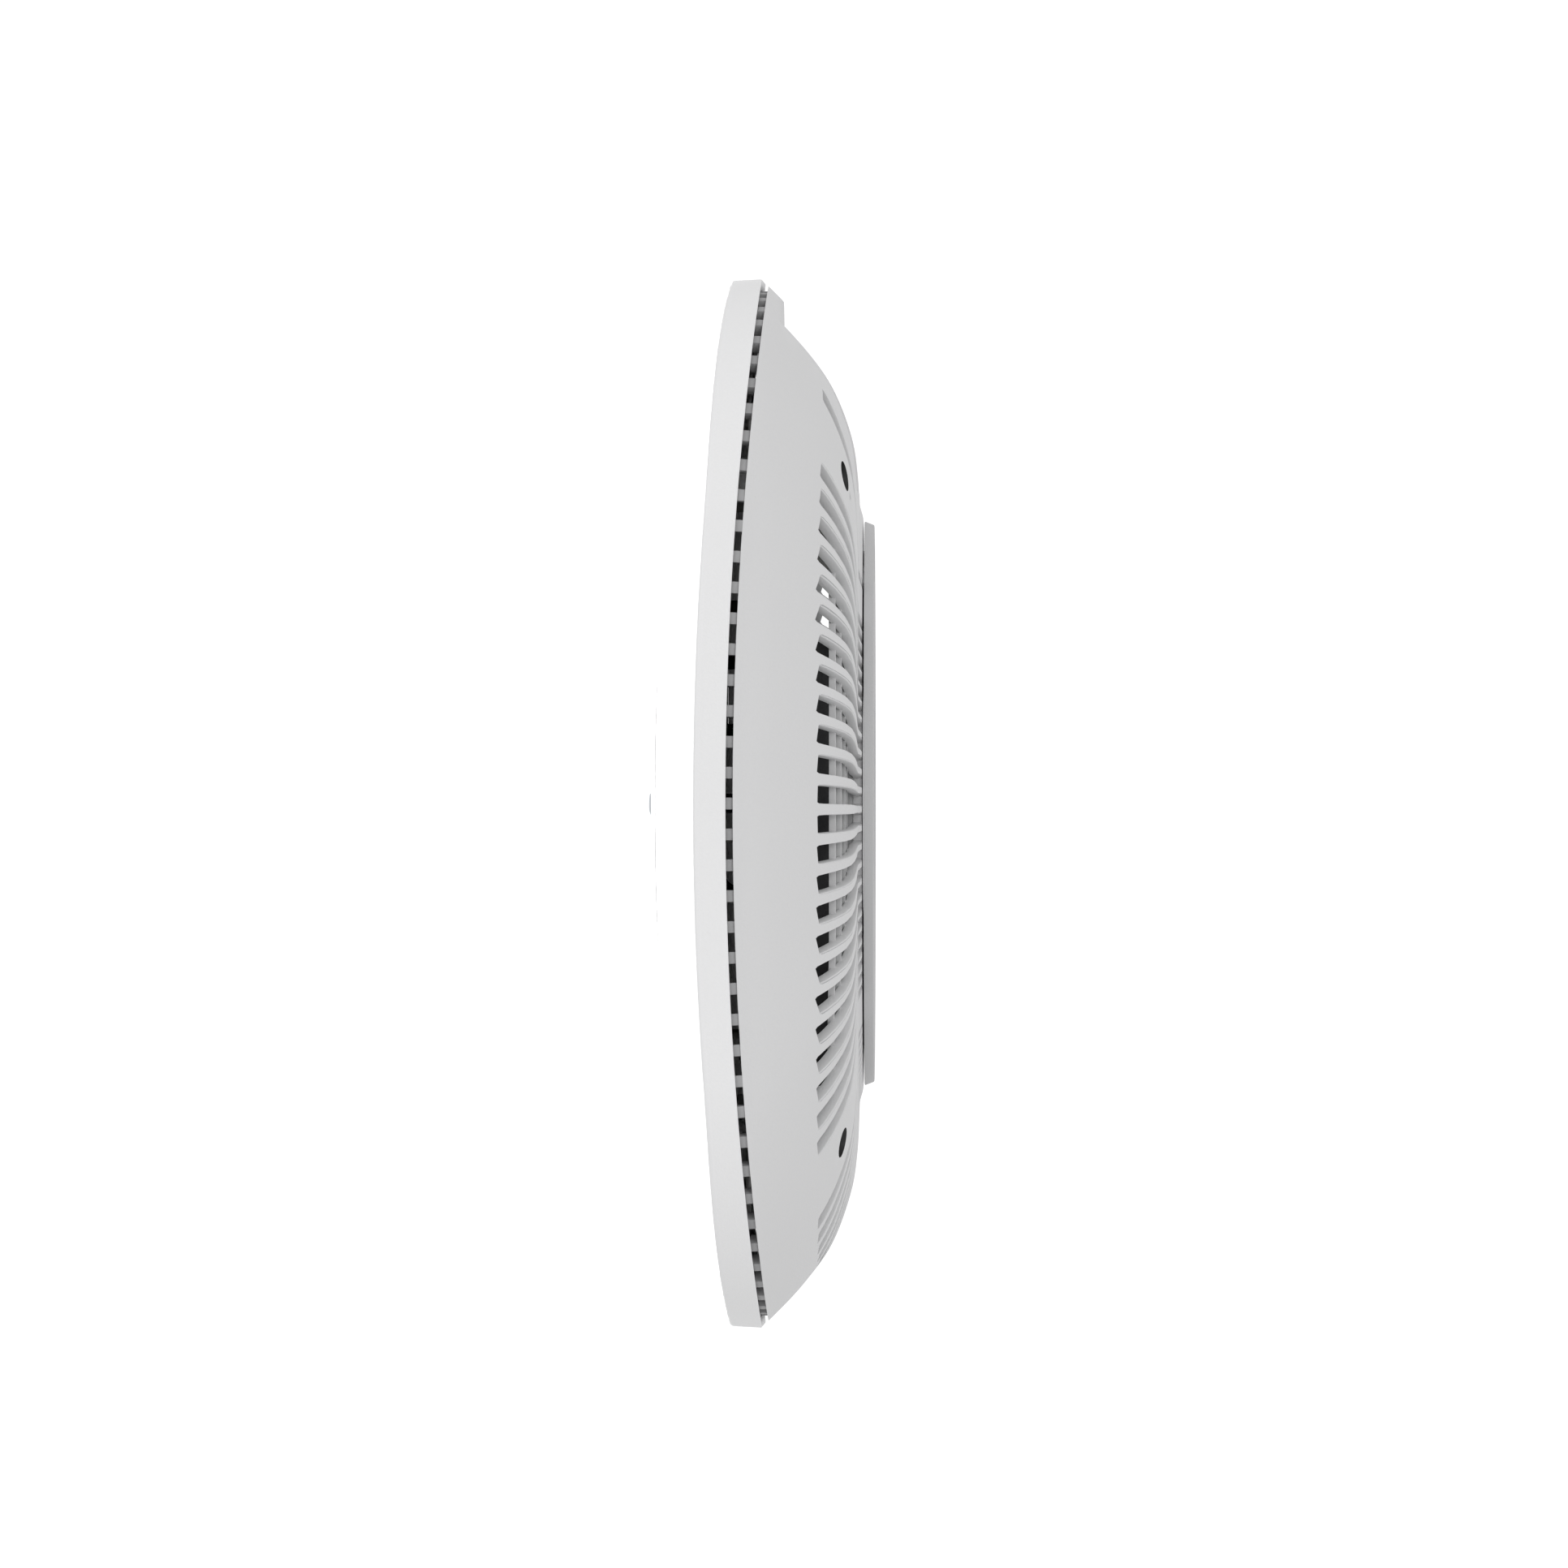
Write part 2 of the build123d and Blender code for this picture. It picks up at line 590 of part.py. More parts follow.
def status_led():
    return block(-1.6, 1.6, -1.4, 1.4, BOARD_TOP + BOARD_T, BOARD_TOP + BOARD_T + 1.0)


def light_pipe():
    """Clear rod that carries the light from the board to the lens."""
    pipe = rod(0, 0, 2.0, BOARD_TOP + BOARD_T + 1.1, 43.1)
    collar = rod(0, 0, 4.2, 38.6, 39.8)
    return pipe + collar


def antenna_plate():
    """Folded reflector sheet under the board that the aerials stand on."""
    plate = block(-84, 84, -84, 84, PLATE_TOP, PLATE_TOP + PLATE_T)
    plate = fillet(plate.edges().filter_by(Axis.Z), 30)
    plate -= rod(0, 0, 6, 20, 30)
    for x, y in screw_spots():
        plate -= rod(x, y, 6.0, 20, 30)
    for x, y in BOARD_POSTS:
        plate -= rod(x, y, 1.7, 20, 30)
    for x, y in COAX_HOLES:
        plate -= rod(x, y, 3.0, 20, 30)
    return plate


def aerial(x, y, turn, length, height):
    """Stamped F-shaped sheet aerial standing on two feet."""
    base = PLATE_TOP + PLATE_T
    end = -length / 2
    top = block(end, -end, -4, 4, base + height - SHEET, base + height)
    leg = block(end, end + SHEET, -2, 2, base, base + height)
    feed = block(end + 6, end + 6 + SHEET, -1, 1, base, base + height)
    foot = block(end - 3, end + SHEET, -2, 2, base, base + SHEET)
    return (Pos(x, y, 0) * Rot(0, 0, turn) * (top + leg + feed + foot)).solid()


def antennas_2g():
    return Compound([aerial(x, y, turn, 28, 8.5) for x, y, turn in AERIALS_2G])


def antennas_5g():
    return Compound([aerial(x, y, turn, 17, 6.0) for x, y, turn in AERIALS_5G])


def scan_antenna():
    """Patch aerial on a small board with two posts."""
    base = PLATE_TOP + PLATE_T
    patch = block(-34, -14, 12, 32, base + 4, base + 4.8)
    for x, y in [(-31, 15), (-17, 29)]:
        patch += rod(x, y, 1.4, base, base + 4)
    return patch


def beacon_antenna():
    base = PLATE_TOP + PLATE_T
    return block(18, 30, 16, 20, base, base + 2.4) - block(20, 28, 15, 21, base + 1.0, base + 1.8)


def coax_leads():
    """Thin screened leads from the board, through the reflector, to the side aerials."""
    leads = []
    for points in COAX_ROUTES:
        radii = []
        for a, b, c in zip(points, points[1:], points[2:]):
            before = Vector(*b) - Vector(*a)
            after = Vector(*c) - Vector(*b)
            half_turn = math.radians(before.get_angle(after)) / 2
            radii.append(0.45 * min(before.length, after.length) / math.tan(half_turn))
        path = FilletPolyline(*points, radius=radii)
        start = Plane(origin=path @ 0, z_dir=path % 0)
        leads.append(sweep(start * Circle(COAX_D / 2), path=path).solid())
    return Compound(leads)


def coax_plugs():
    """Snap-on plugs on the board's underside where the leads start."""
    plugs = []
    for points in COAX_ROUTES:
        x, y, _ = points[0]
        plugs.append(rod(x, y, 1.6, BOARD_TOP + BOARD_T, 24.2).solid())
    return Compound(plugs)


def pan_screw(x, y, head_top, radius, length, head_r, head_h):
    """Cross-headed screw driven away from the ceiling."""
    head = rod(x, y, head_r, head_top, head_top + head_h)
    recess = Pos(x, y, -head_top) * Box(head_r * 1.1, head_r * 0.3, 1.0)
    cross = Pos(x, y, -head_top) * Box(head_r * 0.3, head_r * 1.1, 1.0)
    shank = rod(x, y, radius, head_top + head_h, head_top + head_h + length)
    return (head + shank - recess - cross).solid()


def housing_screws():
    head_top = WELL_BORE_BOTTOM - 2.2
    return Compound([pan_screw(x, y, head_top, 1.25, 14.0, 2.7, 2.2) for x, y in screw_spots()])


def board_standoffs():
    """Hexagonal pillars between the board and the reflector."""
    posts = []
    for x, y in BOARD_POSTS:
        post = prism(Pos(x, y) * RegularPolygon(2.9, 6), BOARD_TOP + BOARD_T, PLATE_TOP)
        posts.append((post - rod(x, y, 1.25, 18, 27)).solid())
    return Compound(posts)


def board_screws():
    return Compound([pan_screw(x, y, BOARD_TOP - 1.6, 1.2, 3.0, 2.6, 1.6) for x, y in BOARD_POSTS])


def plate_screws():
    """Screws that hold the reflector to the pillars, heads towards the dome."""
    screws = []
    for x, y in BOARD_POSTS:
        head = rod(x, y, 2.6, PLATE_TOP + PLATE_T, PLATE_TOP + PLATE_T + 1.4)
        slot = block(x - 2.0, x + 2.0, y - 0.35, y + 0.35, PLATE_TOP + PLATE_T + 0.9, 30)
        shank = rod(x, y, 1.2, 23.6, PLATE_TOP + PLATE_T)
        screws.append((head + shank - slot).solid())
    return Compound(screws)


def bayonet_plate():
    """Steel ring under the plateau with a narrow slot and a wide entry for each hook."""
    ring = prism(Circle(54.5) - Circle(38.0), PLATE_RING_TOP, PLATE_RING_BOTTOM)
    for angle in HOOK_ANGLES:
        free = angle + TWIST
        ring -= prism(arc_sector(HOOK_R - 3.6, HOOK_R - 0.4, angle - 6, free + 6), 3, 7)
        ring -= prism(arc_sector(HOOK_R - 3.6, HOOK_R + 3.0, free - 6, free + 6), 3, 7)
    ring -= prism(arc_sector(*TAB_GROOVE), 3, 7)
    return ring


def ground_springs():
    """Bent strips that earth the bayonet ring to the heat sink."""
    strips = []
    for x, y in [(40, -8), (-40, -8)]:
        strip = block(x - 2, x + 2, y - 6, y + 6, PLATE_RING_BOTTOM, PLATE_RING_BOTTOM + 0.3)
        strip += block(x - 2, x + 2, y - 6, y - 5.7, PLATE_RING_BOTTOM, 9.0)
        strip += block(x - 2, x + 2, y - 6, y + 1, 8.7, 9.0)
        strips.append(strip.solid())
    return Compound(strips)


def rating_label():
    """Blank plate on the bay floor."""
    label = block(-24, 24, 72, 92, BAY_FLOOR - 0.15, BAY_FLOOR)
    return fillet(label.edges().filter_by(Axis.Z), 1.5)


def cable_clip():
    """Hook moulded on the bay floor that holds a cable down."""
    post = block(48, 51, 80, 88, 13.6, BAY_FLOOR)
    arm = block(42, 51, 80, 88, 12.4, 13.6)
    lip = block(42, 43.2, 80, 88, 13.6, 14.8)
    return post + arm + lip


save(mounting_bracket(), "mounting_bracket")
save(lock_tab(), "lock_tab")
save(rear_housing(), "rear_housing")
save(front_cover(), "front_cover")
save(comb_ring(), "comb_ring")
save(vent_screen(), "vent_screen")
save(front_disc(), "front_disc")
save(disc_ring(), "disc_ring")
save(led_lens(), "led_lens")
save(light_pipe(), "light_pipe")
save(status_led(), "status_led")
save(main_board(), "main_board")
save(heat_sink(), "heat_sink")
save(thermal_pads(), "thermal_pads")
for shield_name, shield_zone in zip(SHIELD_NAMES, CHIP_ZONES):
    save(shield_can(shield_zone), shield_name)
save(cpu_chip(), "cpu_chip")
save(memory_chips(), "memory_chips")
save(radio_chips(), "radio_chips")
transformer_core, transformer_bobbin = poe_transformer()
save(transformer_core, "transformer_core")
save(transformer_bobbin, "transformer_bobbin")
save(power_inductors(), "power_inductors")
save(capacitors(), "capacitors")
for number, jack_size in enumerate(JACKS, 1):
    save(rj45_jack(*jack_size), f"rj45_jack_{number}")
save(jack_contacts(), "jack_contacts")
save(usb_jack(), "usb_jack")
save(reset_button(), "reset_button")
save(reset_switch(), "reset_switch")
save(port_plate(), "port_plate")
save(lock_slot_insert(), "lock_slot_insert")
save(antenna_plate(), "antenna_plate")
save(antennas_2g(), "antennas_2g")
save(antennas_5g(), "antennas_5g")
save(scan_antenna(), "scan_antenna")
save(beacon_antenna(), "beacon_antenna")
save(coax_leads(), "coax_leads")
save(coax_plugs(), "coax_plugs")
save(housing_screws(), "housing_screws")
save(board_standoffs(), "board_standoffs")
save(board_screws(), "board_screws")
save(plate_screws(), "plate_screws")
save(bayonet_plate(), "bayonet_plate")
save(ground_springs(), "ground_springs")
save(rating_label(), "rating_label")
save(cable_clip(), "cable_clip")
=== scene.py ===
import json
import math
import bmesh
import bpy
from mathutils import Matrix, Vector


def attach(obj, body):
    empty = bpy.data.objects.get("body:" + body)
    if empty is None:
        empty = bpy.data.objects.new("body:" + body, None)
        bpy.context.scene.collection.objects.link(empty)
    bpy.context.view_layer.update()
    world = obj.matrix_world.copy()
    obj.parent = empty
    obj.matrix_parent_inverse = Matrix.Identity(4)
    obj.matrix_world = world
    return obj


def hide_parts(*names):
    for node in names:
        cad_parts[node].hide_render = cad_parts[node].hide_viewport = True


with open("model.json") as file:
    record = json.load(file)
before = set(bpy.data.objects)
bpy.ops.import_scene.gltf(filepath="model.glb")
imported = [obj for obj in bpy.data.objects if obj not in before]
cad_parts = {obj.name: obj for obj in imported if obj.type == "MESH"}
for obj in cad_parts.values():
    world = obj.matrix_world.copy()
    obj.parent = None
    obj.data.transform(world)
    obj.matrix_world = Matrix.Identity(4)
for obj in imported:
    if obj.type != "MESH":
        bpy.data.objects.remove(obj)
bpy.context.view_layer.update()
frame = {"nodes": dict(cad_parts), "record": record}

MM = 0.001

# The studio is a pale room, a little brighter from below than from above, over a floor far
# down. A long lens looks along +X with the ceiling side to the right. One soft light shines
# up at the dome, one stands low beyond the object, and one stands beside the camera.
LENS_MM = 1500.0
SENSOR_MM = 36.0
VIEW_WIDTH = 0.3235
AIM = Vector((0.0, 0.004, -0.01867))
YAW = math.radians(0.36)
ROOM_BELOW = 0.98
ROOM_ABOVE = 0.74
BACKDROP = 1.1
FLOOR_HALF = 30.0
FLOOR_Z = -9.0
scene = bpy.context.scene
distance = VIEW_WIDTH * LENS_MM / SENSOR_MM
eye = AIM + distance * Vector((-math.cos(YAW), 0.0, math.sin(YAW)))
camera_data = bpy.data.cameras.new("studio_camera")
camera_data.lens = LENS_MM
camera_data.sensor_width = SENSOR_MM
camera_data.clip_start = 0.1
camera_data.clip_end = 60.0
camera = bpy.data.objects.new("studio_camera", camera_data)
scene.collection.objects.link(camera)
looking = (AIM - eye).normalized()
upward = Vector((0.0, 1.0, 0.0))
right = looking.cross(upward).normalized()
camera.matrix_world = Matrix.Translation(eye) @ Matrix((right, upward, -looking)).transposed().to_4x4()
scene.camera = camera

scene.view_settings.view_transform = "Standard"
world = bpy.data.worlds.new("studio_world")
scene.world = world
world.use_nodes = True
sky = world.node_tree
sky.nodes.clear()
sky_out = sky.nodes.new("ShaderNodeOutputWorld")
room = sky.nodes.new("ShaderNodeBackground")
backdrop = sky.nodes.new("ShaderNodeBackground")
chooser = sky.nodes.new("ShaderNodeMixShader")
ray = sky.nodes.new("ShaderNodeLightPath")
place = sky.nodes.new("ShaderNodeTexCoord")
parts_of = sky.nodes.new("ShaderNodeSeparateXYZ")
shade = sky.nodes.new("ShaderNodeMapRange")
shade.inputs["From Min"].default_value = -1.0
shade.inputs["From Max"].default_value = 1.0
shade.inputs["To Min"].default_value = ROOM_BELOW
shade.inputs["To Max"].default_value = ROOM_ABOVE
sky.links.new(place.outputs["Generated"], parts_of.inputs[0])
sky.links.new(parts_of.outputs["Z"], shade.inputs["Value"])
sky.links.new(shade.outputs["Result"], room.inputs["Strength"])
backdrop.inputs["Strength"].default_value = BACKDROP
for colour in (room, backdrop):
    colour.inputs["Color"].default_value = (1.0, 1.0, 1.0, 1.0)
sky.links.new(ray.outputs["Is Camera Ray"], chooser.inputs[0])
sky.links.new(room.outputs[0], chooser.inputs[1])
sky.links.new(backdrop.outputs[0], chooser.inputs[2])
sky.links.new(chooser.outputs[0], sky_out.inputs["Surface"])


def soft_light(name, spot, size, power):
    """A round area light turned to the middle of the view."""
    lamp = bpy.data.lights.new(name, "AREA")
    lamp.shape = "DISK"
    lamp.size = size
    lamp.energy = power
    holder = bpy.data.objects.new(name, lamp)
    holder.location = spot
    holder.rotation_euler = (AIM - Vector(spot)).to_track_quat("-Z", "Y").to_euler()
    scene.collection.objects.link(holder)


soft_light("dome_light", (-0.9, 0.5, -1.9), 1.6, 9.0)
soft_light("far_light", (2.2, 0.2, -0.75), 1.4, 26.0)
soft_light("side_light", (-2.3, 0.75, 0.8), 1.0, 9.5)

floor_mesh = bpy.data.meshes.new("studio_floor")
corner_signs = ((-1, -1), (1, -1), (1, 1), (-1, 1))
floor_corners = [(x * FLOOR_HALF, y * FLOOR_HALF, FLOOR_Z) for x, y in corner_signs]
floor_mesh.from_pydata(floor_corners, [], [(0, 1, 2, 3)])
floor = bpy.data.objects.new("studio_floor", floor_mesh)
scene.collection.objects.link(floor)
floor_paint = bpy.data.materials.new("floor_paint")
floor_paint.use_nodes = True
floor_shader = floor_paint.node_tree.nodes["Principled BSDF"]
floor_shader.inputs["Base Color"].default_value = (0.86, 0.86, 0.86, 1)
floor_shader.inputs["Roughness"].default_value = 0.8
floor_mesh.materials.append(floor_paint)


# The mounting bracket is a pressed and powder-coated steel plate that screws to the ceiling
# or a junction box. Four hooks stand down from it into the unit's bayonet ring.
GRAIN_CELLS = 0.6           # share of the cell pattern in the relief
GRAIN_SPECK = 0.05          # how far the fine grain moves shade and gloss
DRIFT_SHADE = 0.45          # share of the slow drift that moves the shade
DRIFT_SCALE = 22.0
WORN_FROM = 0.53            # pointiness at which wear starts, and at which it is full
WORN_FULL = 0.62
SHARP_ANGLE = 35.0


def make_grain_group():
    """Moulded or coated surface: fine grain, slow shade drift, scuffed edges."""
    group = bpy.data.node_groups.new("surface_grain", "ShaderNodeTree")
    face = group.interface
    sockets = [("Colour", "NodeSocketColor"), ("Edge Colour", "NodeSocketColor"),
               ("Grain Scale", "NodeSocketFloat"), ("Roughness", "NodeSocketFloat"),
               ("Drift", "NodeSocketFloat"), ("Edge Wear", "NodeSocketFloat")]
    for name, kind in sockets:
        face.new_socket(name, in_out="INPUT", socket_type=kind)
    for name, kind in (("Colour", "NodeSocketColor"), ("Roughness", "NodeSocketFloat"),
                       ("Height", "NodeSocketFloat")):
        face.new_socket(name, in_out="OUTPUT", socket_type=kind)
    nodes, links = group.nodes, group.links
    given = nodes.new("NodeGroupInput")
    result = nodes.new("NodeGroupOutput")
    where = nodes.new("ShaderNodeTexCoord")
    fine = nodes.new("ShaderNodeTexNoise")
    fine.inputs["Detail"].default_value = 4.0
    slow = nodes.new("ShaderNodeTexNoise")
    slow.inputs["Scale"].default_value = DRIFT_SCALE
    slow.inputs["Detail"].default_value = 2.0
    cells = nodes.new("ShaderNodeTexVoronoi")
    links.new(where.outputs["Object"], fine.inputs["Vector"])
    links.new(where.outputs["Object"], slow.inputs["Vector"])
    links.new(where.outputs["Object"], cells.inputs["Vector"])
    links.new(given.outputs["Grain Scale"], fine.inputs["Scale"])
    links.new(given.outputs["Grain Scale"], cells.inputs["Scale"])

    def arithmetic(operation, a, b):
        node = nodes.new("ShaderNodeMath")
        node.operation = operation
        for slot_number, value in enumerate((a, b)):
            if isinstance(value, (int, float)):
                node.inputs[slot_number].default_value = value
            else:
                links.new(value, node.inputs[slot_number])
        return node.outputs[0]

    cell_relief = arithmetic("MULTIPLY", cells.outputs["Distance"], GRAIN_CELLS)
    height = arithmetic("ADD", fine.outputs["Fac"], cell_relief)
    slow_swing = arithmetic("SUBTRACT", slow.outputs["Fac"], 0.5)
    drift = arithmetic("MULTIPLY", slow_swing, given.outputs["Drift"])
    speck = arithmetic("MULTIPLY", arithmetic("SUBTRACT", fine.outputs["Fac"], 0.5), GRAIN_SPECK)
    rough = arithmetic("ADD", given.outputs["Roughness"], arithmetic("ADD", drift, speck))
    shade_drift = arithmetic("MULTIPLY", drift, DRIFT_SHADE)
    bright = arithmetic("ADD", 1.0, arithmetic("ADD", shade_drift, speck))
    tint = nodes.new("ShaderNodeVectorMath")
    tint.operation = "SCALE"
    links.new(given.outputs["Colour"], tint.inputs[0])
    links.new(bright, tint.inputs["Scale"])
    shape = nodes.new("ShaderNodeNewGeometry")
    edge = nodes.new("ShaderNodeMapRange")
    edge.inputs["From Min"].default_value = WORN_FROM
    edge.inputs["From Max"].default_value = WORN_FULL
    links.new(shape.outputs["Pointiness"], edge.inputs["Value"])
    worn = arithmetic("MULTIPLY", arithmetic("MULTIPLY", edge.outputs["Result"], slow.outputs["Fac"]),
                      given.outputs["Edge Wear"])
    mix = nodes.new("ShaderNodeMix")
    mix.data_type = "RGBA"
    links.new(worn, mix.inputs["Factor"])
    links.new(tint.outputs[0], mix.inputs["A"])
    links.new(given.outputs["Edge Colour"], mix.inputs["B"])
    links.new(mix.outputs["Result"], result.inputs["Colour"])
    links.new(rough, result.inputs["Roughness"])
    links.new(height, result.inputs["Height"])
    return group


grain_group = make_grain_group()


def grained(name, colour, roughness, grain_scale, bump_mm, edge_colour=None, drift=0.12,
            wear=0.5, metallic=0.0, coat=0.0):
    """A material whose fine detail comes from the surface grain group."""
    material = bpy.data.materials.new(name)
    material.use_nodes = True
    nodes, links = material.node_tree.nodes, material.node_tree.links
    shader = nodes["Principled BSDF"]
    shader.inputs["Metallic"].default_value = metallic
    shader.inputs["Coat Weight"].default_value = coat
    grain = nodes.new("ShaderNodeGroup")
    grain.node_tree = grain_group
    grain.inputs["Colour"].default_value = (*colour, 1)
    grain.inputs["Edge Colour"].default_value = (*(edge_colour or colour), 1)
    grain.inputs["Grain Scale"].default_value = grain_scale
    grain.inputs["Roughness"].default_value = roughness
    grain.inputs["Drift"].default_value = drift
    grain.inputs["Edge Wear"].default_value = wear
    bump = nodes.new("ShaderNodeBump")
    bump.inputs["Strength"].default_value = 1.0
    bump.inputs["Distance"].default_value = bump_mm * MM
    links.new(grain.outputs["Colour"], shader.inputs["Base Color"])
    links.new(grain.outputs["Roughness"], shader.inputs["Roughness"])
    links.new(grain.outputs["Height"], bump.inputs["Height"])
    links.new(bump.outputs["Normal"], shader.inputs["Normal"])
    return material


def softened(node, material, edge_mm):
    """Welds a copy of a part, joins its flat facets and rounds its edges, as moulding does."""
    mesh = frame["nodes"][node].data.copy()
    shape = bmesh.new()
    shape.from_mesh(mesh)
    bmesh.ops.remove_doubles(shape, verts=shape.verts, dist=2e-6)
    flat = math.radians(0.6)
    bmesh.ops.dissolve_limit(shape, angle_limit=flat, verts=shape.verts, edges=shape.edges)
    shape.to_mesh(mesh)
    shape.free()
    mesh.materials.clear()
    mesh.materials.append(material)
    piece = bpy.data.objects.new(node + "_finished", mesh)
    scene.collection.objects.link(piece)
    if edge_mm:
        bevel = piece.modifiers.new("edge", "BEVEL")
        bevel.width = edge_mm * MM
        bevel.segments = 2
        bevel.limit_method = "ANGLE"
        bevel.angle_limit = math.radians(SHARP_ANGLE)
        bevel.use_clamp_overlap = True
        settled(piece)
    piece.data.shade_smooth()
    piece.data.set_sharp_from_angle(angle=math.radians(SHARP_ANGLE))
    body = next(b for b, members in frame["record"]["behaviour"]["bodies"].items() if node in members)
    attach(piece, body)
    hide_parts(node)
    return piece


def settled(piece):
    """Turns a piece and its modifiers into a plain mesh."""
    graph = bpy.context.evaluated_depsgraph_get()
    mesh = bpy.data.meshes.new_from_object(piece.evaluated_get(graph))
    piece.modifiers.clear()
    piece.data = mesh
    return piece


bracket_coat = grained("bracket_coat", (0.47, 0.47, 0.475), 0.5, 2600.0, 0.05, (0.62, 0.62, 0.62),
                       wear=0.6)
softened("mounting_bracket", bracket_coat, 0.25)

# The lock tab is a spring-steel arm with a round root that sits in a recess of the bracket.
# Its tooth drops into a groove of the unit and is pushed aside to let the unit turn.
spring_steel = grained("spring_steel", (0.55, 0.55, 0.56), 0.28, 900.0, 0.004, metallic=1.0, drift=0.2)
softened("lock_tab", spring_steel, 0.1)

# The bayonet ring is a zinc-plated pressing screwed under the plateau, and two bent strips
# earth it to the heat sink.
zinc_plate = grained("zinc_plate", (0.58, 0.59, 0.60), 0.34, 700.0, 0.006, metallic=1.0, drift=0.25)
softened("bayonet_plate", zinc_plate, 0.12)
softened("ground_springs", spring_steel, 0.05)

# The rear housing is one pale grey moulding: a dished square with radial fins, a plateau
# under the bracket, four screw wells and a cable bay. Slots and bay are cut from the dish.
# Four screws in the wells hold it to the front cover. All its sizes are in mm.
DISH = [                    # depth, half size along X, half size along Y, corner radius
    (28.5, 106.1, 112.5, 49.0),
    (21.3, 102.8, 106.1, 49.5),
    (14.2, 97.0, 98.6, 51.5),
    (8.8, 90.2, 90.8, 53.0),
    (5.0, 82.4, 80.5, 54.0),
    (3.6, 74.0, 72.0, 55.0),
    (3.1, 63.0, 63.0, 57.0),
]
SIDE_STEPS = 20             # points along each quarter's straight and round stretches
CORNER_STEPS = 26
DISH_ROWS = 5               # rows of faces between two sections
EDGE_REACH = 1.4            # the arched edge lies within this many sections of the first
FLOOR_SHARES = (0.05, 0.2, 0.35, 0.5, 0.65, 0.8, 0.9)
ARCH = 6.2e-4               # rise of the parting lines per mm of y squared
HOUSING_BACK = 28.5
SKIN_DROP = 1.8             # the hollow's step down and in from the outer face
SKIN_INSET = 1.9
PLATEAU_TOP = 2.3
PLATEAU_R = 58.7
PLATEAU_FOOT = 62.0
SLOTS_PER_SIDE = 24
SLOT_PITCH = 6.2
SLOT_HALF = 93.6
SLOT_CORNER = 52.3
SLOT_OUTER_W = 3.8
SLOT_INNER_W = 2.4
SLOT_INNER_R = 56.6
SLOT_STEPS = (              # share of the slot's length, share of its width there
    (0.0, 0.62), (0.03, 0.88), (0.08, 1), (0.2, 1), (0.35, 1), (0.5, 1), (0.62, 1),
    (0.74, 1), (0.85, 1), (0.94, 1), (0.985, 0.96), (1.0, 0.8))
SLOT_LIP = (                # widening of each side, depth below the dish's face
    (0.3, -1.6), (0.26, -0.05), (0.07, 0.12), (0.0, 0.34), (0.0, 9.0))
PATTERN_Y = -1.2            # the slots and wells are centred here
SCREW_SPREAD = 68.4
WELL_R = 5.4
WELL_BOTTOM = 17.0
BORE_R = 3.1
BORE_BOTTOM = 14.0
SHANK_R = 1.8
BAY_MOUTH_HALF = 73.5
BAY_BACK_HALF = 38
BAY_MOUTH_Y = 99.5
BAY_BACK_Y = 64
BAY_FAR_Y = 118
BAY_FLOOR = 19.0
BAY_WALL = 2.2
BAY_SLANT = 0.42            # share of the wall by which a slanted side's ends move
ABOVE = -2.0                # cutters start this far above the ceiling face
TWIST = 20
HOOK_PLAY = 7
HOOK_OPENING = (43.8, 51.4)             # inner and outer radius
TAB_GROOVE = (45.5, 55.6, 74, 103)      # inner and outer radius, first and last bearing
GROOVE_BOTTOM = 6.0
SKIRT = ((56.4, 3.6), (56.4, 8.6), (56.2, 8.8), (55.2, 8.8), (55.0, 8.6), (55.0, 3.6))
PORT_WINDOWS = (            # middle along X, half width, top and bottom depth
    (-27.0, 8.15, 6.6, 19.6), (-9.0, 8.15, 6.6, 19.6), (9.5, 8.15, 6.6, 19.6),
    (25.0, 4.9, 15.6, 19.4), (33.6, 1.5, 12.5, 15.5))


def dish_section(t, drop, inset):
    """Depth, half sizes and corner radius at t sections up the dish, eased through them all."""
    i = min(int(t), len(DISH) - 2)
    u = t - i

    def slope(k):
        a, b = max(k - 1, 0), min(k + 1, len(DISH) - 1)
        return [(q - p) / (b - a) for p, q in zip(DISH[a], DISH[b])]

    h00, h10 = 2 * u ** 3 - 3 * u ** 2 + 1, u ** 3 - 2 * u ** 2 + u
    h01, h11 = 3 * u ** 2 - 2 * u ** 3, u ** 3 - u ** 2
    depth, hx, hy, corner = (h00 * a + h10 * sa + h01 * b + h11 * sb for a, b, sa, sb in
                             zip(DISH[i], DISH[i + 1], slope(i), slope(i + 1)))
    return depth + drop, hx - inset, hy - inset, corner - inset


def square_ring(half_x, half_y, corner, per_side, per_corner):
    """Points round a rounded rectangle, anticlockwise from the middle of the +X side."""
    points = []
    for quarter in range(4):
        turned = quarter % 2
        a, b = (half_y, half_x) if turned else (half_x, half_y)
        turn = quarter * math.pi / 2
        local = [(a, (b - corner) * k / per_side) for k in range(per_side)]
        local += [(a - corner + corner * math.cos(w), b - corner + corner * math.sin(w))
                  for w in (k / per_corner * math.pi / 2 for k in range(per_corner))]
        local += [((a - corner) * (1 - k / per_side), b) for k in range(per_side)]
        points.extend((x * math.cos(turn) - y * math.sin(turn), x * math.sin(turn) + y * math.cos(turn))
                      for x, y in local)
    return points


